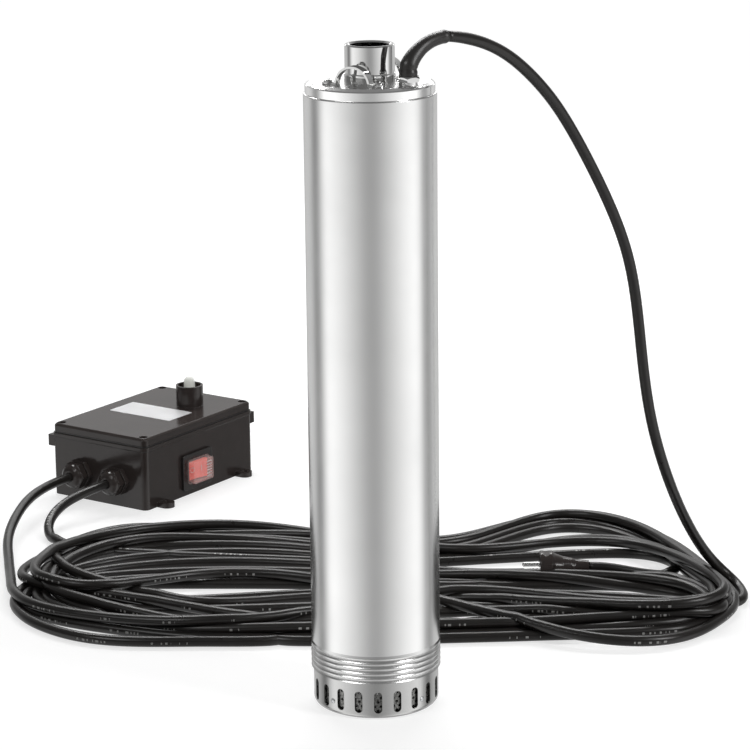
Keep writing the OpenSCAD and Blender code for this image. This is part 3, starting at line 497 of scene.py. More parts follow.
# Grip ribs on the clear cover: the ribs are real, their pale, nearly opaque tone is a painted highlight.
RIBS_PAINTED_HIGHLIGHT = ThinPlastic("cover_ribs", (0.92, 0.88, 0.87), (0.86, 0.82, 0.81), (0.08, 0.14), mottle=60.0, cover=0.7)
# White silicone dome with a painted glow that brightens it as if lit from within.
SILICONE = ThinPlastic(
    "white_boot", (0.94, 0.95, 0.91), (0.88, 0.89, 0.85), (0.12, 0.2), mottle=60.0, cover=0.55, painted_glow=0.12,
)

MADE_OF: tuple[tuple[Finish, str], ...] = (
    (SATIN, "outer_sleeve motor_can"),
    (CUP_PAINTED_SHADE, "suction_strainer"),
    (SCREEN_PAINTED_SHADE, "strainer_screen"),
    (PRESSED, "discharge_head"),
    (POLISHED, "outlet_socket lifting_strap_front lifting_strap_rear strap_screws cable_gland plug_pins"),
    (RUBBER, "cable_grommet cable_boot head_o_ring lid_gasket inner_lead pump_cable cable_coil box_cable mains_lead"),
    (RESIN, "suction_plate stage_bowls motor_flange motor_cap diffuser_1 diffuser_2 diffuser_3"),
    (BRASS, "impeller_1 impeller_2 impeller_3 impeller_4"),
    (BRONZE, "bottom_bush"),
    (TURNED, "strainer_rivets shaft_spacers shaft_nut pump_shaft lid_screws"),
    (TURNED, "bearing_outer_rings bearing_inner_rings bearing_balls"),
    (CERAMIC, "seal_seat"),
    (CARBON, "seal_ring"),
    (CAST, "lower_bracket upper_bracket stator_core rotor_core"),
    (COPPER, "stator_windings"),
    (BOX, "box_base box_lid box_glands box_gland_nuts plug_body"),
    (SWITCH, "switch_frame breaker_body"),
    (ROCKER, "switch_rocker"),
    (COVER, "switch_cover"),
    (PALE, "reset_plunger terminal_block"),
    (SILICONE, "reset_boot"),
    (CAPACITOR, "start_capacitor"),
)
NODE_FINISH: dict[str, Finish] = {part: finish for finish, parts in MADE_OF for part in parts.split()}


def add_mesh(name: str, verts: Points, faces: Faces, finish: Finish, smooth: bool = True) -> Piece:
    """Makes a mesh object in the row frame.

    Args:
        name: the piece's name.
        verts: its points in metres.
        faces: lists of point numbers.
        finish: what it is made of.
        smooth: whether its faces are shaded smooth.
    Returns:
        The new object, in the scene.
    """
    mesh = bpy.data.meshes.new(name)
    mesh.from_pydata([tuple(v) for v in verts], [], faces)
    mesh.validate()
    mesh.polygons.foreach_set("use_smooth", [smooth] * len(mesh.polygons))
    mesh.materials.append(finish.material())
    piece = bpy.data.objects.new(name, mesh)
    bpy.context.scene.collection.objects.link(piece)
    log.info("made %s with %d faces", name, len(mesh.polygons))
    return piece


def ring_faces(rings: int, sides: int) -> Faces:
    """Gives the faces of a skin over rings of points, closed at both ends.

    Args:
        rings: how many rings follow each other.
        sides: how many points each ring has.
    Returns:
        Lists of point numbers, the two ends last.
    """
    faces = [
        [i * sides + k, i * sides + (k + 1) % sides, (i + 1) * sides + (k + 1) % sides, (i + 1) * sides + k]
        for i in range(rings - 1) for k in range(sides)
    ]
    return faces + [list(range(sides))[::-1], list(range((rings - 1) * sides, rings * sides))]


def distance(path: Points) -> Points:
    """Gives the distance of each point of a path from its start, along the path."""
    return np.r_[0.0, np.cumsum(np.linalg.norm(np.diff(path, axis=0), axis=1))]


def length(path: Points) -> float:
    """Gives the length of a path."""
    return float(np.linalg.norm(np.diff(path, axis=0), axis=1).sum())


def even(path: Points, step: float) -> Points:
    """Spreads points evenly along a path.

    Args:
        path: rows of x, y, z.
        step: about how far apart the new points are.
    Returns:
        The new points, with the path's two ends.
    """
    run = distance(path)
    at = np.linspace(0.0, run[-1], int(round(run[-1] / step)) + 1)
    return np.stack([np.interp(at, run, path[:, k]) for k in range(3)], 1)


def spline(stops: Points, steps: int) -> Points:
    """Gives a smooth cubic curve near its stops, which passes its first and last.

    Args:
        stops: rows of x, y, z.
        steps: points for each stop.
    Returns:
        The curve's points.
    """
    p = np.vstack([2 * stops[0] - stops[1], stops, 2 * stops[-1] - stops[-2]])
    t = np.linspace(0.0, 1.0, steps, endpoint=False)[:, None]
    runs = [
        ((1 - t) ** 3 * p[i - 1] + (3 * t**3 - 6 * t**2 + 4) * p[i]
         + (-3 * t**3 + 3 * t**2 + 3 * t + 1) * p[i + 1] + t**3 * p[i + 2]) / 6
        for i in range(1, len(p) - 2)
    ]
    return np.vstack([*runs, p[-2][None]])


def tube(name: str, path: Points, radii: Points, sides: int, finish: Finish) -> Piece:
    """Makes a round tube along a path, with a map of its length and turn.

    Args:
        name: the piece's name.
        path: points in metres.
        radii: the tube's radius at each point.
        sides: how many sides its section has.
        finish: what it is made of.
    Returns:
        The new object, closed at both ends.
    """
    n = len(path)
    ahead = np.gradient(path, axis=0)
    ahead /= np.linalg.norm(ahead, axis=1)[:, None]
    side = np.zeros((n, 3))
    first = np.cross(ahead[0], (0.0, 0.0, 1.0))
    upright = np.linalg.norm(first) <= 0.1
    side[0] = (1.0, 0.0, 0.0) if upright else first / np.linalg.norm(first)
    for i in range(1, n):
        flat = side[i - 1] - ahead[i] * (side[i - 1] @ ahead[i])
        side[i] = flat / np.linalg.norm(flat)
    over = np.cross(side, ahead)
    turn = np.linspace(0.0, 2.0 * math.pi, sides, endpoint=False)
    ring = np.cos(turn)[None, :, None] * side[:, None] + np.sin(turn)[None, :, None] * over[:, None]
    verts = (path[:, None] + radii[:, None, None] * ring).reshape(-1, 3)
    piece = add_mesh(name, verts, ring_faces(n, sides), finish)
    run = distance(path)
    body = np.array([
        [(run[i], k), (run[i], k + 1), (run[i + 1], k + 1), (run[i + 1], k)]
        for i in range(n - 1) for k in range(sides)
    ])
    spots = np.zeros((len(piece.data.loops), 2), np.float32)
    spots[: body.shape[0] * 4] = body.reshape(-1, 2) / (1.0, sides)
    layer = piece.data.uv_layers.new(name="length_and_turn")
    layer.data.foreach_set("uv", spots.ravel())
    return piece


def lathe(name: str, outline: list[Pair], place: Place, sides: int, finish: Finish) -> Piece:
    """Turns a closed outline about the upright axis.

    Args:
        name: the piece's name.
        outline: radius and height of each corner, in millimetres.
        place: where its axis meets its foot, in millimetres.
        sides: how many sides a circle gets.
        finish: what it is made of.
    Returns:
        The new object.
    """
    x, y, z = place
    turn = np.linspace(0.0, 2.0 * math.pi, sides, endpoint=False)
    verts = np.array([(x + r * math.cos(t), y + r * math.sin(t), z + h) for t in turn for r, h in outline])
    n = len(outline)
    faces = [
        [k * n + i, ((k + 1) % sides) * n + i, ((k + 1) % sides) * n + (i + 1) % n, k * n + (i + 1) % n]
        for k in range(sides) for i in range(n)
    ]
    piece = add_mesh(name, verts * MM, faces, finish)
    clean = bmesh.new()
    clean.from_mesh(piece.data)
    bmesh.ops.remove_doubles(clean, verts=clean.verts, dist=1e-6)
    bmesh.ops.recalc_face_normals(clean, faces=clean.faces)
    clean.to_mesh(piece.data)
    clean.free()
    return piece


@dataclass(frozen=True)
class Turn:
    """One turn of the hank, in millimetres of the floor frame.

    front and far are the distances of its two long sides at FRONT_X and FAR_X,
    left and right the tips of its two ends.
    """

    front: tuple[float, ...]
    left: Pair = (0.0, 0.0)
    far: tuple[float, ...] = ()
    right: Pair = (0.0, 0.0)


FRONT_X = (300, 200, 100, 0, -100, -200, -300)
FAR_X = FRONT_X[::-1]
HANK = (
    Turn((280, 300, 312, 316, 308, 290, 284), (-340, 318), (352, 350, 346, 338, 334, 342, 338), (356, 286)),
    Turn((230, 250, 262, 268, 264, 256, 268), (-356, 316), (364, 376, 372, 352, 336, 332, 324), (360, 268)),
    Turn((180, 196, 206, 210, 208, 212, 240), (-376, 322), (384, 396, 392, 372, 346, 332, 314), (362, 248)),
    Turn((172, 166, 164, 162, 162, 170, 206), (-398, 300), (410, 432, 424, 396, 352, 340, 318), (366, 246)),
    Turn((190, 180, 170, 166, 164, 158, 158), (-404, 304), (444, 466, 460, 420, 368, 380, 360), (372, 238)),
    Turn((196, 186, 174, 170, 168, 176, 222), (-384, 336), (486, 496, 484, 442, 420, 570, 522), (380, 254)),
    Turn((206, 196, 184, 176, 172, 184, 236), (-372, 356), (480, 508, 500, 454, 410, 500, 490), (370, 244)),
    Turn((222, 226, 206, 186, 178, 194, 246), (-378, 350), (516, 522, 512, 468, 440, 594, 540), (384, 260)),
    Turn((198, 216, 240, 226, 184, 244, 290), (-406, 372), (536, 530, 520, 474, 414, 470, 456), (376, 240)),
    Turn((186, 222, 284, 310, 296, 256, 330), (-372, 414), (530, 545, 545, 504, 484, 606, 552), (386, 272)),
    Turn((128, 138, 222, 300, 352, 358, 272), (-388, 344), (512, 546, 540, 492, 472, 600, 544), (382, 260)),
    Turn((206, 262, 300, 256, 182, 170, 206)),
)
# Routes in the row frame and lays in the floor frame, in millimetres; lays are let sink on the floor.
DROP_ROUTE = (
    (59, 42, 665), (63, 58, 663), (71, 90, 655), (80, 127, 637), (90, 165, 605), (98, 195, 572), (108, 233, 516),
    (117, 267, 459), (121, 292, 409), (121, 309, 353), (119, 325, 285), (118, 348, 214), (120, 389, 138),
    (117, 440, 78), (121, 480, 34), (142, 494, 12), (169, 472, 6), (184, 435, 5.5),
)
BOX_ROUTE = (
    (-695.5, 362, 33), (-695.5, 346, 33), (-696, 313, 32.5), (-688, 271, 30), (-673, 234, 25.5), (-648, 185, 17),
    (-617, 143, 9), (-571, 102, 5.5),
)
LEAVING_LAY = ((-366, 240, 0), (-398, 290, 0), (-408, 335, 0), (-409, 372, 0))
LEAD_ROUTE = (
    (-638, 362, 33), (-638, 346, 33), (-639.5, 318, 32.3), (-645, 284, 27), (-642, 253, 17), (-624, 224, 6.5),
)
LEAD_LAY = (
    (-361, 492, 0), (-312, 470, 0), (-200, 448, 0), (-100, 430, 0), (0, 418, 0), (100, 424, 0), (200, 438, 0),
    (262, 446, 0), (306, 443, 0), (340, 424, 0), (350, 396, 0), (336, 369, 2), (304, 358.5, 8), (270, 357.7, 15.5),
    (252, 357.7, 18.5), (239, 357.7, 18.5),
)
BOOT_ROUTE = (
    (48.03, -5.98, 632.5), (48.03, -5.98, 637.5), (48.03, -5.98, 642.5), (50, 2, 652), (53, 14, 660),
    (56, 28, 664), (59, 42, 665),
)


class Lay(Enum):
    COILED = "coiled"
    LOOSE = "loose"


class FarEnd(Enum):
    OBJECT = "object"
    PLUG = "plug"


@dataclass
class Cables:
    """The drop cable with its loose hank, the mains lead and the boot on the pump's gland."""

    diameter: float = 11.5
    end_diameter: float = 10.5
    taper: float = 0.03
    sides: int = 16
    lay_steps: int = 12
    step: float = 8.0
    fine_steps: int = 3
    fine_step: float = 0.006

    # The rounded ends of a turn.
    left_shoulder: float = 0.93
    bulge: float = 8.0
    right_shoulder: float = 346.0
    right_share: Pair = (0.55, 0.45)
    right_tip: Pair = (14.0, 22.0)
    right_return: Pair = (0.92, 10.0)

    # How the laid cables sink.
    free_below: Pair = (5.0, 4.0)
    flat_beyond: float = 330.0
    flat_share: float = 0.45
    contact: float = 11.8
    sinks: int = 330
    fall: float = 0.55
    last_sinks: int = 40
    last_fall: float = 0.12
    look_every: int = 5
    look_beyond: float = 4.0
    same_run: int = 4
    pushes: int = 3
    push: float = 0.6
    most_hits: int = 2
    slide: float = 0.86
    sway: float = 2.2
    stiff: float = 4.0
    calm: Pair = (0.4, 0.6)
    seam_reach: float = 12.0

    # The boot: share of its length, and its wall over the cable.
    boot_shape: tuple[Pair, ...] = (
        (0.0, 3.6), (0.07, 3.6), (0.09, 2.9), (0.12, 2.9), (0.14, 3.4), (0.3, 2.6), (0.5, 1.7), (0.8, 1.25),
        (0.93, 1.15), (0.94, 1.5), (0.985, 1.5), (1.0, 0.9),
    )
    boot_steps: int = 10
    boot_step: float = 0.0006
    boot_sides: int = 24
    boot_soften: int = 5

    def build(self) -> None:
        drop, lead = self._settle(self._laid_drop(), self._laid_lead())
        plug = [bpy.data.objects["plug_body"], bpy.data.objects["plug_pins"]]
        self._cord(
            "drop_cable", to_row(drop) * MM, FarEnd.OBJECT, Lay.COILED, [], "pump_cable", "cable_coil", "box_cable",
        )
        self._cord("mains_cable", to_row(lead) * MM, FarEnd.PLUG, Lay.LOOSE, plug, "mains_lead")
        self._boot()

    def _laid_drop(self) -> Points:
        """Lays the drop cable from the pump by way of the hank to the box.

        Returns:
            Its path before it settles.
        """
        flat = [stop for turn, after in zip(HANK[:-1], HANK[1:]) for stop in self._round(turn, after)]
        stops = [(x, y, 0.0) for x, y in [*flat, *zip(FRONT_X, HANK[-1].front)]]
        start, end = to_floor(np.array(DROP_ROUTE, float)), to_floor(np.array(BOX_ROUTE[::-1], float))
        return even(spline(np.vstack([start, stops, LEAVING_LAY, end]), self.lay_steps), self.step)

    def _round(self, turn: Turn, after: Turn) -> list[Pair]:
        """Gives the stops once round a turn: front side, left end, far side and right end.

        Args:
            turn: the turn.
            after: the turn that follows it.
        Returns:
            Places on the floor, up to the next turn's front side.
        """
        (left, middle), (right, y) = turn.left, turn.right
        (far, near), (share, back) = self.right_tip, self.right_return
        shoulder = left * self.left_shoulder
        return [
            *zip(FRONT_X, turn.front),
            (shoulder, (turn.front[-1] + middle) / 2 - self.bulge),
            (left, middle),
            (shoulder, (turn.far[0] + middle) / 2 + self.bulge),
            *zip(FAR_X, turn.far),
            (self.right_shoulder, turn.far[-1] * self.right_share[0] + y * self.right_share[1] + self.bulge),
            (right, y + far),
            (right, y - near),
            (right * share, (after.front[0] + y - near) / 2 - back),
        ]

    def _laid_lead(self) -> Points:
        """Lays the mains lead from the box along the hank's far side to the plug.

        Returns:
            Its path before it settles.
        """
        start = to_floor(np.array(LEAD_ROUTE, float))
        return even(spline(np.vstack([start, LEAD_LAY]), self.lay_steps), self.step)

    def _settle(self, *laid: Points) -> list[Points]:
        """Lets the laid cables sink on the floor and on each other.

        Args:
            laid: paths whose points at floor level are free and whose raised ends are held.
        Returns:
            The paths after they have come to rest.
        """
        rest = self.diameter / 2
        points = np.vstack(laid)
        cuts = np.r_[0, np.cumsum([len(path) for path in laid])]
        free = np.concatenate([path[:, 2] < top for path, top in zip(laid, self.free_below)])
        order = np.zeros(len(points))
        lying = np.nonzero(free[: cuts[1]])[0]
        order[: cuts[1]] = np.clip((np.arange(cuts[1]) - lying[0]) / (lying[-1] - lying[0]), 0, 1) * len(HANK)
        home, held = points[:, :2].copy(), points[:, 2].copy()
        stack = np.where(home[:, 0] > self.flat_beyond, self.flat_share, 1.0)
        z = np.where(free, rest + order * self.diameter * stack, held)
        shift = np.zeros_like(home)
        apart = self._may_touch(cuts)
        bells = (self._bell(self.sway), self._bell(self.sway), self._bell(self.stiff))
        for count in range(self.sinks):
            spot = np.column_stack([home + shift, z])
            if count % self.look_every == 0:
                one, two = self._near_pairs(spot, apart, free)
            spot[free, 2] -= self.fall if count < self.sinks - self.last_sinks else self.last_fall
            for _ in range(self.pushes):
                spot = self._part(spot, one, two, free)
                spot[free, 2] = np.maximum(spot[free, 2], rest)
            shift = np.where(free[:, None], (spot[:, :2] - home) * self.slide, 0.0)
            z = np.where(free, spot[:, 2], held)
            for a, b in zip(cuts[:-1], cuts[1:]):
                both = np.column_stack([shift[a:b], z[a:b]])
                soft = np.stack([self._blur(v, bell) for v, bell in zip(both.T, bells)], 1)
                both = np.where(free[a:b, None], self.calm[0] * both + self.calm[1] * soft, both)
                shift[a:b] = both[:, :2]
                z[a:b] = np.where(free[a:b], np.maximum(both[:, 2], rest), held[a:b])
        spot = np.column_stack([home + shift, z])
        drop, *others = [spot[a:b] for a, b in zip(cuts[:-1], cuts[1:])]
        return [self._ease_end(drop, free[: cuts[1]]), *others]

    def _may_touch(self, cuts: Points) -> Points:
        """Finds the pairs of points that aren't neighbours on one cable.

        Args:
            cuts: the number of each cable's first point, and of all points.
        Returns:
            A table of pairs, each pair once.
        """
        number = np.arange(cuts[-1])
        owner = np.searchsorted(cuts, number, side="right")
        distant = np.abs(number[:, None] - number[None]) > self.same_run
        return np.triu(distant | (owner[:, None] != owner[None]), 1)

    def _near_pairs(self, spot: Points, apart: Points, free: Points) -> tuple[Points, Points]:
        """Finds the pairs of points that may soon touch.

        Args:
            spot: all points.
            apart: the table of pairs that count.
            free: which points may move.
        Returns:
            The numbers of each pair's first and second point.
        """
        near = spot.astype(np.float32)
        square = (near**2).sum(1)
        gaps = square[:, None] + square[None] - 2 * near @ near.T
        one, two = np.nonzero((gaps < (self.contact + self.look_beyond) ** 2) & apart)
        loose = free[one] | free[two]
        return one[loose], two[loose]

    def _part(self, spot: Points, one: Points, two: Points, free: Points) -> Points:
        """Pushes points that lie in each other apart.

        Args:
            spot: all points.
            one: each near pair's first point.
            two: each near pair's second point.
            free: which points may move.
        Returns:
            The points after one push.
        """
        way = spot[one] - spot[two]
        gap = np.sqrt((way**2).sum(1)) + 1e-6
        deep = np.maximum(self.contact - gap, 0)
        first, second = free[one].astype(float), free[two].astype(float)
        push = way / gap[:, None] * (deep / (first + second) * self.push)[:, None]
        total, hits = np.zeros_like(spot), np.zeros(len(spot))
        np.add.at(total, one, push * first[:, None])
        np.add.at(total, two, -push * second[:, None])
        np.add.at(hits, one, (deep > 0).astype(float))
        np.add.at(hits, two, (deep > 0).astype(float))
        return spot + total / np.maximum(hits, 1)[:, None] * np.minimum(hits, self.most_hits)[:, None]

    def _ease_end(self, path: Points, free: Points) -> Points:
        """Smooths a path where it leaves the part that has settled for its held end.

        Args:
            path: the settled points.
            free: which points could move.
        Returns:
            The smoothed points.
        """
        off = np.arange(len(path)) - np.nonzero(free)[0][-1]
        share = np.exp(-((off / self.seam_reach) ** 2))[:, None]
        soft = np.stack([self._blur(v, self._bell(self.seam_reach / 2)) for v in path.T], 1)
        return path * (1 - share) + soft * share

    def _bell(self, spread: float) -> Points:
        """Gives the weights of a soft average over neighbouring points.

        Args:
            spread: how many points it reaches over.
        Returns:
            An odd number of weights, 1 in all.
        """
        half = int(3 * spread) + 1
        bell = np.exp(-0.5 * (np.arange(-half, half + 1) / spread) ** 2)
        return bell / bell.sum()

    def _blur(self, values: Points, bell: Points) -> Points:
        """Averages each value with its neighbours."""
        return np.convolve(np.pad(values, len(bell) // 2, mode="edge"), bell, mode="valid")

    def _cord(
        self, name: str, path: Points, far_end: FarEnd, lay: Lay, pieces: list[Piece], *nodes: str,
    ) -> None:
        """Args:
            name: the piece's name.
            path: its points in metres.
            far_end: what its far end is; not used.
            lay: how it lies; not used.
            pieces: the pieces on it; not used.
            nodes: the solids that it stands for.
        """
        fine = even(spline(path, self.fine_steps), self.fine_step)
        run = np.linspace(0.0, length(fine), len(fine))
        near_end = np.clip(np.minimum(run, run[-1] - run) / self.taper, 0.0, 1.0)
        radii = (self.end_diameter + (self.diameter - self.end_diameter) * near_end) * MM / 2
        cable = tube(name, fine, radii, self.sides, SHEATH)
        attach(cable, ROOT)
        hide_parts(*nodes)

    def _boot(self) -> None:
        """Makes the tapered boot over the cable at the pump's gland, with its foot bead and end lip."""
        path = even(spline(np.array(BOOT_ROUTE, float) * MM, self.boot_steps), self.boot_step)
        run = np.linspace(0.0, 1.0, len(path))
        stops = np.array(self.boot_shape)
        radii = np.interp(run, stops[:, 0], stops[:, 1] + self.end_diameter / 2) * MM
        soften = np.full(self.boot_soften, 1 / self.boot_soften)
        boot = tube("flex_boot", path, self._blur(radii, soften), self.boot_sides, RUBBER)
        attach(boot, ROOT)
        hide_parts("cable_boot")


@dataclass
class ControlBox:
    """Label, switch marks and reset dome of the control box, in millimetres of the row frame."""

    at: Pair = (-667.5, 485.0)
    lid_top: float = 90.0

    label: Pair = (95.0, 47.0)
    label_at: Pair = (-3.0, -0.5)
    label_corner: float = 2.0
    label_rings: tuple[Pair, ...] = ((0.0, -0.05), (0.0, 0.2), (0.12, 0.3))

    guard_at: Pair = (18.0, 52.0)
    guard_floor: float = 13.0
    dome_foot: tuple[Pair, ...] = ((6.1, 0.0), (9.0, 0.0), (9.0, 4.4), (8.6, 5.0), (7.4, 6.4))
    dome_neck: float = 7.6
    dome_inside: Pair = (6.1, 7.4)
    dome_r: float = 7.0
    dome_wall: float = 1.0
    dome_h: float = 23.6
    dome_shoulder: float = 3.0
    dome_sides: int = 48
    travel: float = 2.5

    pivot: Place = (-597.5, 475.0, 30.0)
    rocker_tip: float = 15.7
    rocker_swing: float = 18.0
    face_slope: Pair = (5.2, 2.8)
    hollow: Pair = (21.0, 15.1)
    ring: Pair = (3.6, 2.7)
    ring_sides: int = 36
    bar: Pair = (0.55, 3.6)
    print_lift: Pair = (-0.05, 0.12)

    cover_face: Pair = (-581.5, 481.0)
    rib_count: int = 6
    rib_pitch: float = 3.6
    rib_length: float = 9.5
    rib_section: Pair = (0.8, 0.7)
    rib_root: float = 0.1

    def build(self) -> None:
        """Makes the pieces that the solids lack."""
        self._label()
        self._dome()
        self._rocker_marks()
        self._cover_ribs()

    def _label(self) -> None:
        """Makes the bare plate on the lid, with round corners and a soft edge."""
        (w, d), r = self.label, self.label_corner
        x, y = self.at[0] + self.label_at[0], self.at[1] + self.label_at[1]
        corners: list[Pair] = []
        for side, end, start in ((1, 1, 0), (-1, 1, 90), (-1, -1, 180), (1, -1, 270)):
            for angle in range(start, start + 91, 15):
                t = math.radians(angle)
                corners.append((side * (w / 2 - r) + r * math.cos(t), end * (d / 2 - r) + r * math.sin(t)))
        verts = [
            (x + px * (1 - 2 * inset / w), y + py * (1 - 2 * inset / d), self.lid_top + up)
            for inset, up in self.label_rings for px, py in corners
        ]
        faces = ring_faces(len(self.label_rings), len(corners))
        plate = add_mesh("lid_label", np.array(verts) * MM, faces, LABEL, smooth=False)
        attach(plate, ROOT)

    def _on_rocker(self, across: float, up: float, lift: float) -> Place:
        """Gives a place on the rocker's hollow face.

        Args:
            across: distance from the rocker's middle, along its length.
            up: distance above its middle.
            lift: height above the face.
        Returns:
            The place in millimetres of the row frame.
        """
        slope = self.face_slope[0] + self.face_slope[1] * abs(across) / self.rocker_tip
        off = across - math.copysign(self.rocker_tip / 2, across)
        out = min(slope, self.hollow[0] - math.sqrt(self.hollow[1] ** 2 - off**2)) + lift
        tilt = math.radians(-self.rocker_swing / 2)
        x, y = out * math.cos(tilt) - across * math.sin(tilt), out * math.sin(tilt) + across * math.cos(tilt)
        return self.pivot[0] + x, self.pivot[1] + y, self.pivot[2] + up

    def _rocker_marks(self) -> None:
        """Makes the ring for off and the bar for on, printed on the rocker."""
        verts: list[Place] = []
        faces: Faces = []
        (outer, inner), (low, high), middle = self.ring, self.print_lift, self.rocker_tip / 2
        total = 4 * self.ring_sides
        for k in range(self.ring_sides):
            a = 2 * math.pi * k / self.ring_sides
            for r, lift in ((outer, low), (outer, high), (inner, high), (inner, low)):
                verts.append(self._on_rocker(-middle + r * math.cos(a), r * math.sin(a), lift))
            faces += [[4 * k + i, 4 * k + i + 1, (4 * k + i + 5) % total, (4 * k + i + 4) % total] for i in range(3)]
        half, tall = self.bar
        for lift in (low, high):
            for y, z in ((-half, -tall), (half, -tall), (half, tall), (-half, tall)):
                verts.append(self._on_rocker(middle + y, z, lift))
        bar = ((4, 5, 6, 7), (0, 1, 5, 4), (1, 2, 6, 5), (2, 3, 7, 6), (3, 0, 4, 7))
        faces += [[total + i for i in quad] for quad in bar]
        marks = add_mesh("rocker_marks", np.array(verts) * MM, faces, MARK, smooth=False)
        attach(marks, "rocker")

    def _cover_ribs(self) -> None:
        """Makes the short grip ribs moulded on the clear cover, in a pale tone that is a painted highlight."""
        verts: list[Place] = []
        faces: Faces = []
        (x, y), (tall, half) = self.cover_face, self.rib_section
        arc = [math.radians(a) for a in range(0, 181, 30)]
        n = len(arc)
        for k in range(self.rib_count):
            z = self.pivot[2] + (k - (self.rib_count - 1) / 2) * self.rib_pitch
            base = len(verts)
            for end in (y, y + self.rib_length):
                verts += [(x - self.rib_root + tall * math.sin(t), end, z + half * math.cos(t)) for t in arc]
            faces += [[base + i, base + i + 1, base + i + n + 1, base + i + n] for i in range(n - 1)]
            faces += [[base + i for i in range(n)][::-1], [base + n + i for i in range(n)]]
            faces += [[base, base + n, base + 2 * n - 1, base + n - 1]]
        ribs = add_mesh("cover_ribs", np.array(verts) * MM, faces, RIBS_PAINTED_HIGHLIGHT)
        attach(ribs, ROOT)

    def _dome(self) -> None:
        """Makes the silicone dome over the reset button, at rest."""
        outer, inner, crown = self.dome_r, self.dome_r - self.dome_wall, self.dome_h - self.dome_r
        arc = [math.radians(a) for a in range(0, 91, 9)]
        outline = [*self.dome_foot, (outer, self.dome_neck), (outer, crown - self.dome_shoulder)]
        outline += [(outer * math.cos(a), crown + outer * math.sin(a)) for a in arc]
        outline += [(inner * math.cos(a), crown + inner * math.sin(a)) for a in arc[::-1]]
        outline += [(inner, self.dome_neck), self.dome_inside]
        place = (self.at[0] + self.guard_at[0], self.at[1] + self.guard_at[1], self.lid_top + self.guard_floor)
        dome = lathe("reset_dome", outline, place, self.dome_sides, SILICONE)
        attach(dome, ROOT)
        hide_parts("reset_boot")
        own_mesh(dome)


@dataclass(frozen=True)
class Lamp:
    """A soft lamp: its place in millimetres of the floor frame, its panel in metres and its power in watts."""

    name: str
    place: Place
    panel: Pair
    power: float


LAMPS = (
    Lamp("key_lamp", (-1500, -1300, 1900), (1.2, 0.6), 16.0),
    Lamp("fill_lamp", (1700, -900, 1500), (0.5, 1.2), 24.0),
    Lamp("back_lamp", (0, 2500, 1300), (2.2, 0.5), 7.0),
    Lamp("top_lamp", (-100, 1900, 2100), (2.2, 0.45), 40.0),
)


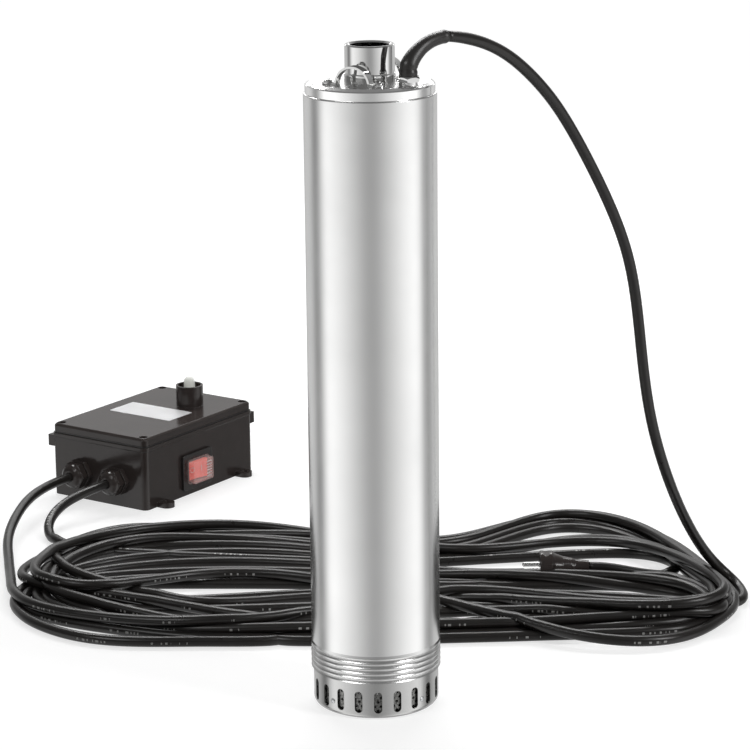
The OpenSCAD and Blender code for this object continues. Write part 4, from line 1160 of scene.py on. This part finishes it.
@dataclass
class Studio:
    """Camera, pale floor and soft light."""

    focal_px: float = 2971.0
    image_px: float = 750.0
    sensor: float = 36.0
    stand: Place = (0.0, -2807.0, 1056.0)
    pitch: float = 14.42
    roll: float = -0.60
    yaw: float = 0.04
    clip: Pair = (0.1, 50.0)
    lamp_aim: Place = (-0.1, 0.1, 0.25)

    # The room that metal mirrors: grey by the share of a half turn from the camera, and a pale wall behind.
    room_bands: tuple[Pair, ...] = (
        (0.0, 0.46), (0.05, 0.5), (0.1, 0.61), (0.15, 0.73), (0.2, 0.85), (0.25, 0.97), (0.3, 1.09), (0.36, 1.2),
        (0.42, 1.3), (0.47, 1.3), (0.52, 1.0), (0.57, 0.5), (0.63, 0.32), (0.7, 0.62), (0.8, 0.7), (1.0, 0.5),
    )
    room_peak: float = 2.0
    room_light: float = 0.5
    dim_room: float = 0.18
    back_wall: float = 0.6
    back_height: float = 16.0
    back_spread: Pair = (0.5, 0.95)
    horizon: Pair = (-0.06, 0.06)

    floor_size: float = 24.0
    floor_drop: float = 0.0004
    floor_grey: float = 0.45
    floor_rough: float = 0.9
    floor_glow: Pair = (0.66, 0.95)
    floor_reach: Pair = (0.9, 2.4)

    def camera(self) -> None:
        """Makes the camera at the photograph's viewing angle."""
        p, y, r = (math.radians(v) for v in (self.pitch, self.yaw, self.roll))
        ahead = np.array([math.sin(y) * math.cos(p), math.cos(y) * math.cos(p), -math.sin(p)])
        right = np.array([math.cos(y), -math.sin(y), 0.0])
        up = np.cross(right, ahead)
        axes = np.array([math.cos(r) * right + math.sin(r) * up, math.cos(r) * up - math.sin(r) * right, -ahead])
        axes, place = to_row(axes), to_row(np.array([self.stand]))[0] * MM
        data = bpy.data.cameras.new("photo_camera")
        data.sensor_width = self.sensor
        data.lens = self.focal_px * self.sensor / self.image_px
        data.clip_start, data.clip_end = self.clip
        camera = bpy.data.objects.new("photo_camera", data)
        camera.matrix_world = Matrix(np.column_stack([np.vstack([axes.T, [0, 0, 0]]), [*place, 1.0]]).tolist())
        bpy.context.scene.collection.objects.link(camera)
        bpy.context.scene.camera = camera

    def light(self) -> None:
        """Makes the world, the lamps and the floor."""
        bpy.context.scene.view_settings.view_transform = "Standard"
        self._world()
        for lamp in LAMPS:
            self._hang(lamp)
        self._floor()

    def _hang(self, lamp: Lamp) -> None:
        """Makes one soft lamp that faces the pump.

        Args:
            lamp: its place, panel and power.
        """
        data = bpy.data.lights.new(lamp.name, "AREA")
        data.shape, data.energy = "RECTANGLE", lamp.power
        data.size, data.size_y = lamp.panel
        panel = bpy.data.objects.new(lamp.name, data)
        panel.location = Vector(to_row(np.array([lamp.place], float))[0] * MM)
        aim = Vector(self.lamp_aim) - panel.location
        panel.rotation_euler = aim.to_track_quat("-Z", "Y").to_euler()
        bpy.context.scene.collection.objects.link(panel)

    def _world(self) -> None:
        """Makes a white background for the camera and a softly banded room for the light."""
        world = bpy.data.worlds.new("studio")
        bpy.context.scene.world = world
        world.use_nodes = True
        sheet = NodeSheet(world.node_tree)
        sheet.tree.nodes.clear()
        way = sheet.add("TexCoord").outputs["Generated"]
        ray = sheet.add("LightPath")
        height = sheet.add("SeparateXYZ", way).outputs["Z"]
        halves = sheet.blend(sheet.reach(height, self.horizon), self._bands(sheet, way), self._wall(sheet, way))
        levels = (self.room_light * self.room_peak, self.room_peak)
        level = sheet.reach(ray.outputs["Is Glossy Ray"], (0.0, 1.0), levels)
        room = sheet.add("Background", Color=halves, Strength=level)
        white = sheet.add("Background", Color=(1.0, 1.0, 1.0, 1.0))
        seen = sheet.math("MAXIMUM", ray.outputs["Is Camera Ray"], ray.outputs["Is Transmission Ray"])
        mix = sheet.add("MixShader", seen, room.outputs["Background"], white.outputs["Background"])
        sheet.add("OutputWorld", Surface=mix.outputs["Shader"])

    def _bands(self, sheet: NodeSheet, way: Socket) -> Socket:
        """Makes the soft bands of the lower half of the room, which the upright sleeve mirrors.

        Args:
            sheet: the world's nodes.
            way: the direction looked in.
        Returns:
            The bands' grey, as a share of the peak.
        """
        flat = sheet.add("VectorMath", way, (1.0, 1.0, 0.0), operation="MULTIPLY")
        unit = sheet.add("VectorMath", flat.outputs["Vector"], operation="NORMALIZE")
        front = (math.sin(VIEW_TURN), -math.cos(VIEW_TURN), 0.0)
        turned = sheet.add("VectorMath", unit.outputs["Vector"], front, operation="DOT_PRODUCT")
        share = sheet.math("DIVIDE", sheet.math("ARCCOSINE", turned.outputs["Value"]), math.pi)
        ramp = sheet.add("ValToRGB", share)
        ramp.color_ramp.interpolation = "CARDINAL"
        stops = ramp.color_ramp.elements
        for k, (at, grey) in enumerate(self.room_bands):
            stop = stops[k] if k < 2 else stops.new(at)
            stop.position, stop.color = at, (*[grey / self.room_peak] * 3, 1.0)
        return ramp.outputs["Color"]

    def _wall(self, sheet: NodeSheet, way: Socket) -> Socket:
        """Makes the dim upper half of the room, with a pale wall low behind the pump.

        Args:
            sheet: the world's nodes.
            way: the direction looked in.
        Returns:
            The grey, as a share of the peak.
        """
        tilt = math.radians(self.back_height)
        flat = math.cos(tilt)
        middle = (-math.sin(VIEW_TURN) * flat, math.cos(VIEW_TURN) * flat, math.sin(tilt))
        near = sheet.add("VectorMath", way, middle, operation="DOT_PRODUCT").outputs["Value"]
        return sheet.reach(near, self.back_spread, (self.dim_room / self.room_peak, self.back_wall / self.room_peak))

    def _floor(self) -> None:
        """Makes the pale floor, white to the camera, with the object's soft shadow."""
        bpy.ops.mesh.primitive_plane_add(size=self.floor_size, location=(0.0, 0.0, -self.floor_drop))
        floor = bpy.context.object
        floor.name = "studio_floor"
        made = bpy.data.materials.new("floor_paper")
        made.use_nodes = True
        sheet = NodeSheet(made.node_tree)
        paper = (*[self.floor_grey] * 3, 1.0)
        sheet.join(sheet.shader, Base_Color=paper, Roughness=self.floor_rough, Specular_IOR_Level=0.0)
        away = sheet.add("VectorMath", sheet.spot(), operation="LENGTH").outputs["Value"]
        seen = sheet.add("LightPath").outputs["Is Camera Ray"]
        strength = sheet.math("MULTIPLY", sheet.reach(away, self.floor_reach, self.floor_glow), seen)
        glow = sheet.add("Emission", Strength=strength)
        both = sheet.add("AddShader", sheet.shader.outputs["BSDF"], glow.outputs["Emission"])
        sheet.join(sheet.tree.nodes["Material Output"], Surface=both.outputs["Shader"])
        floor.data.materials.append(made)
        floor.visible_glossy = False


def dress(nodes: dict[str, Piece]) -> None:
    """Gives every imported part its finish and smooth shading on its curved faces.

    Args:
        nodes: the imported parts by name.
    """
    for name, part in nodes.items():
        part.data.materials.clear()
        part.data.materials.append(NODE_FINISH[name].material())
        part.data.shade_smooth()
        part.data.set_sharp_from_angle(angle=SHARP_EDGE)
        log.info("dressed %s in %s", name, NODE_FINISH[name].name)


def main() -> None:
    """Builds the scene piece by piece."""
    logging.basicConfig(level=logging.INFO, format="%(name)s: %(message)s")
    bpy.ops.object.select_all(action="SELECT")
    bpy.ops.object.delete()
    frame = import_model()
    studio = Studio()
    studio.camera()
    Cables().build()
    dress(frame["nodes"])
    ControlBox().build()
    studio.light()


if __name__ == "__main__":
    main()
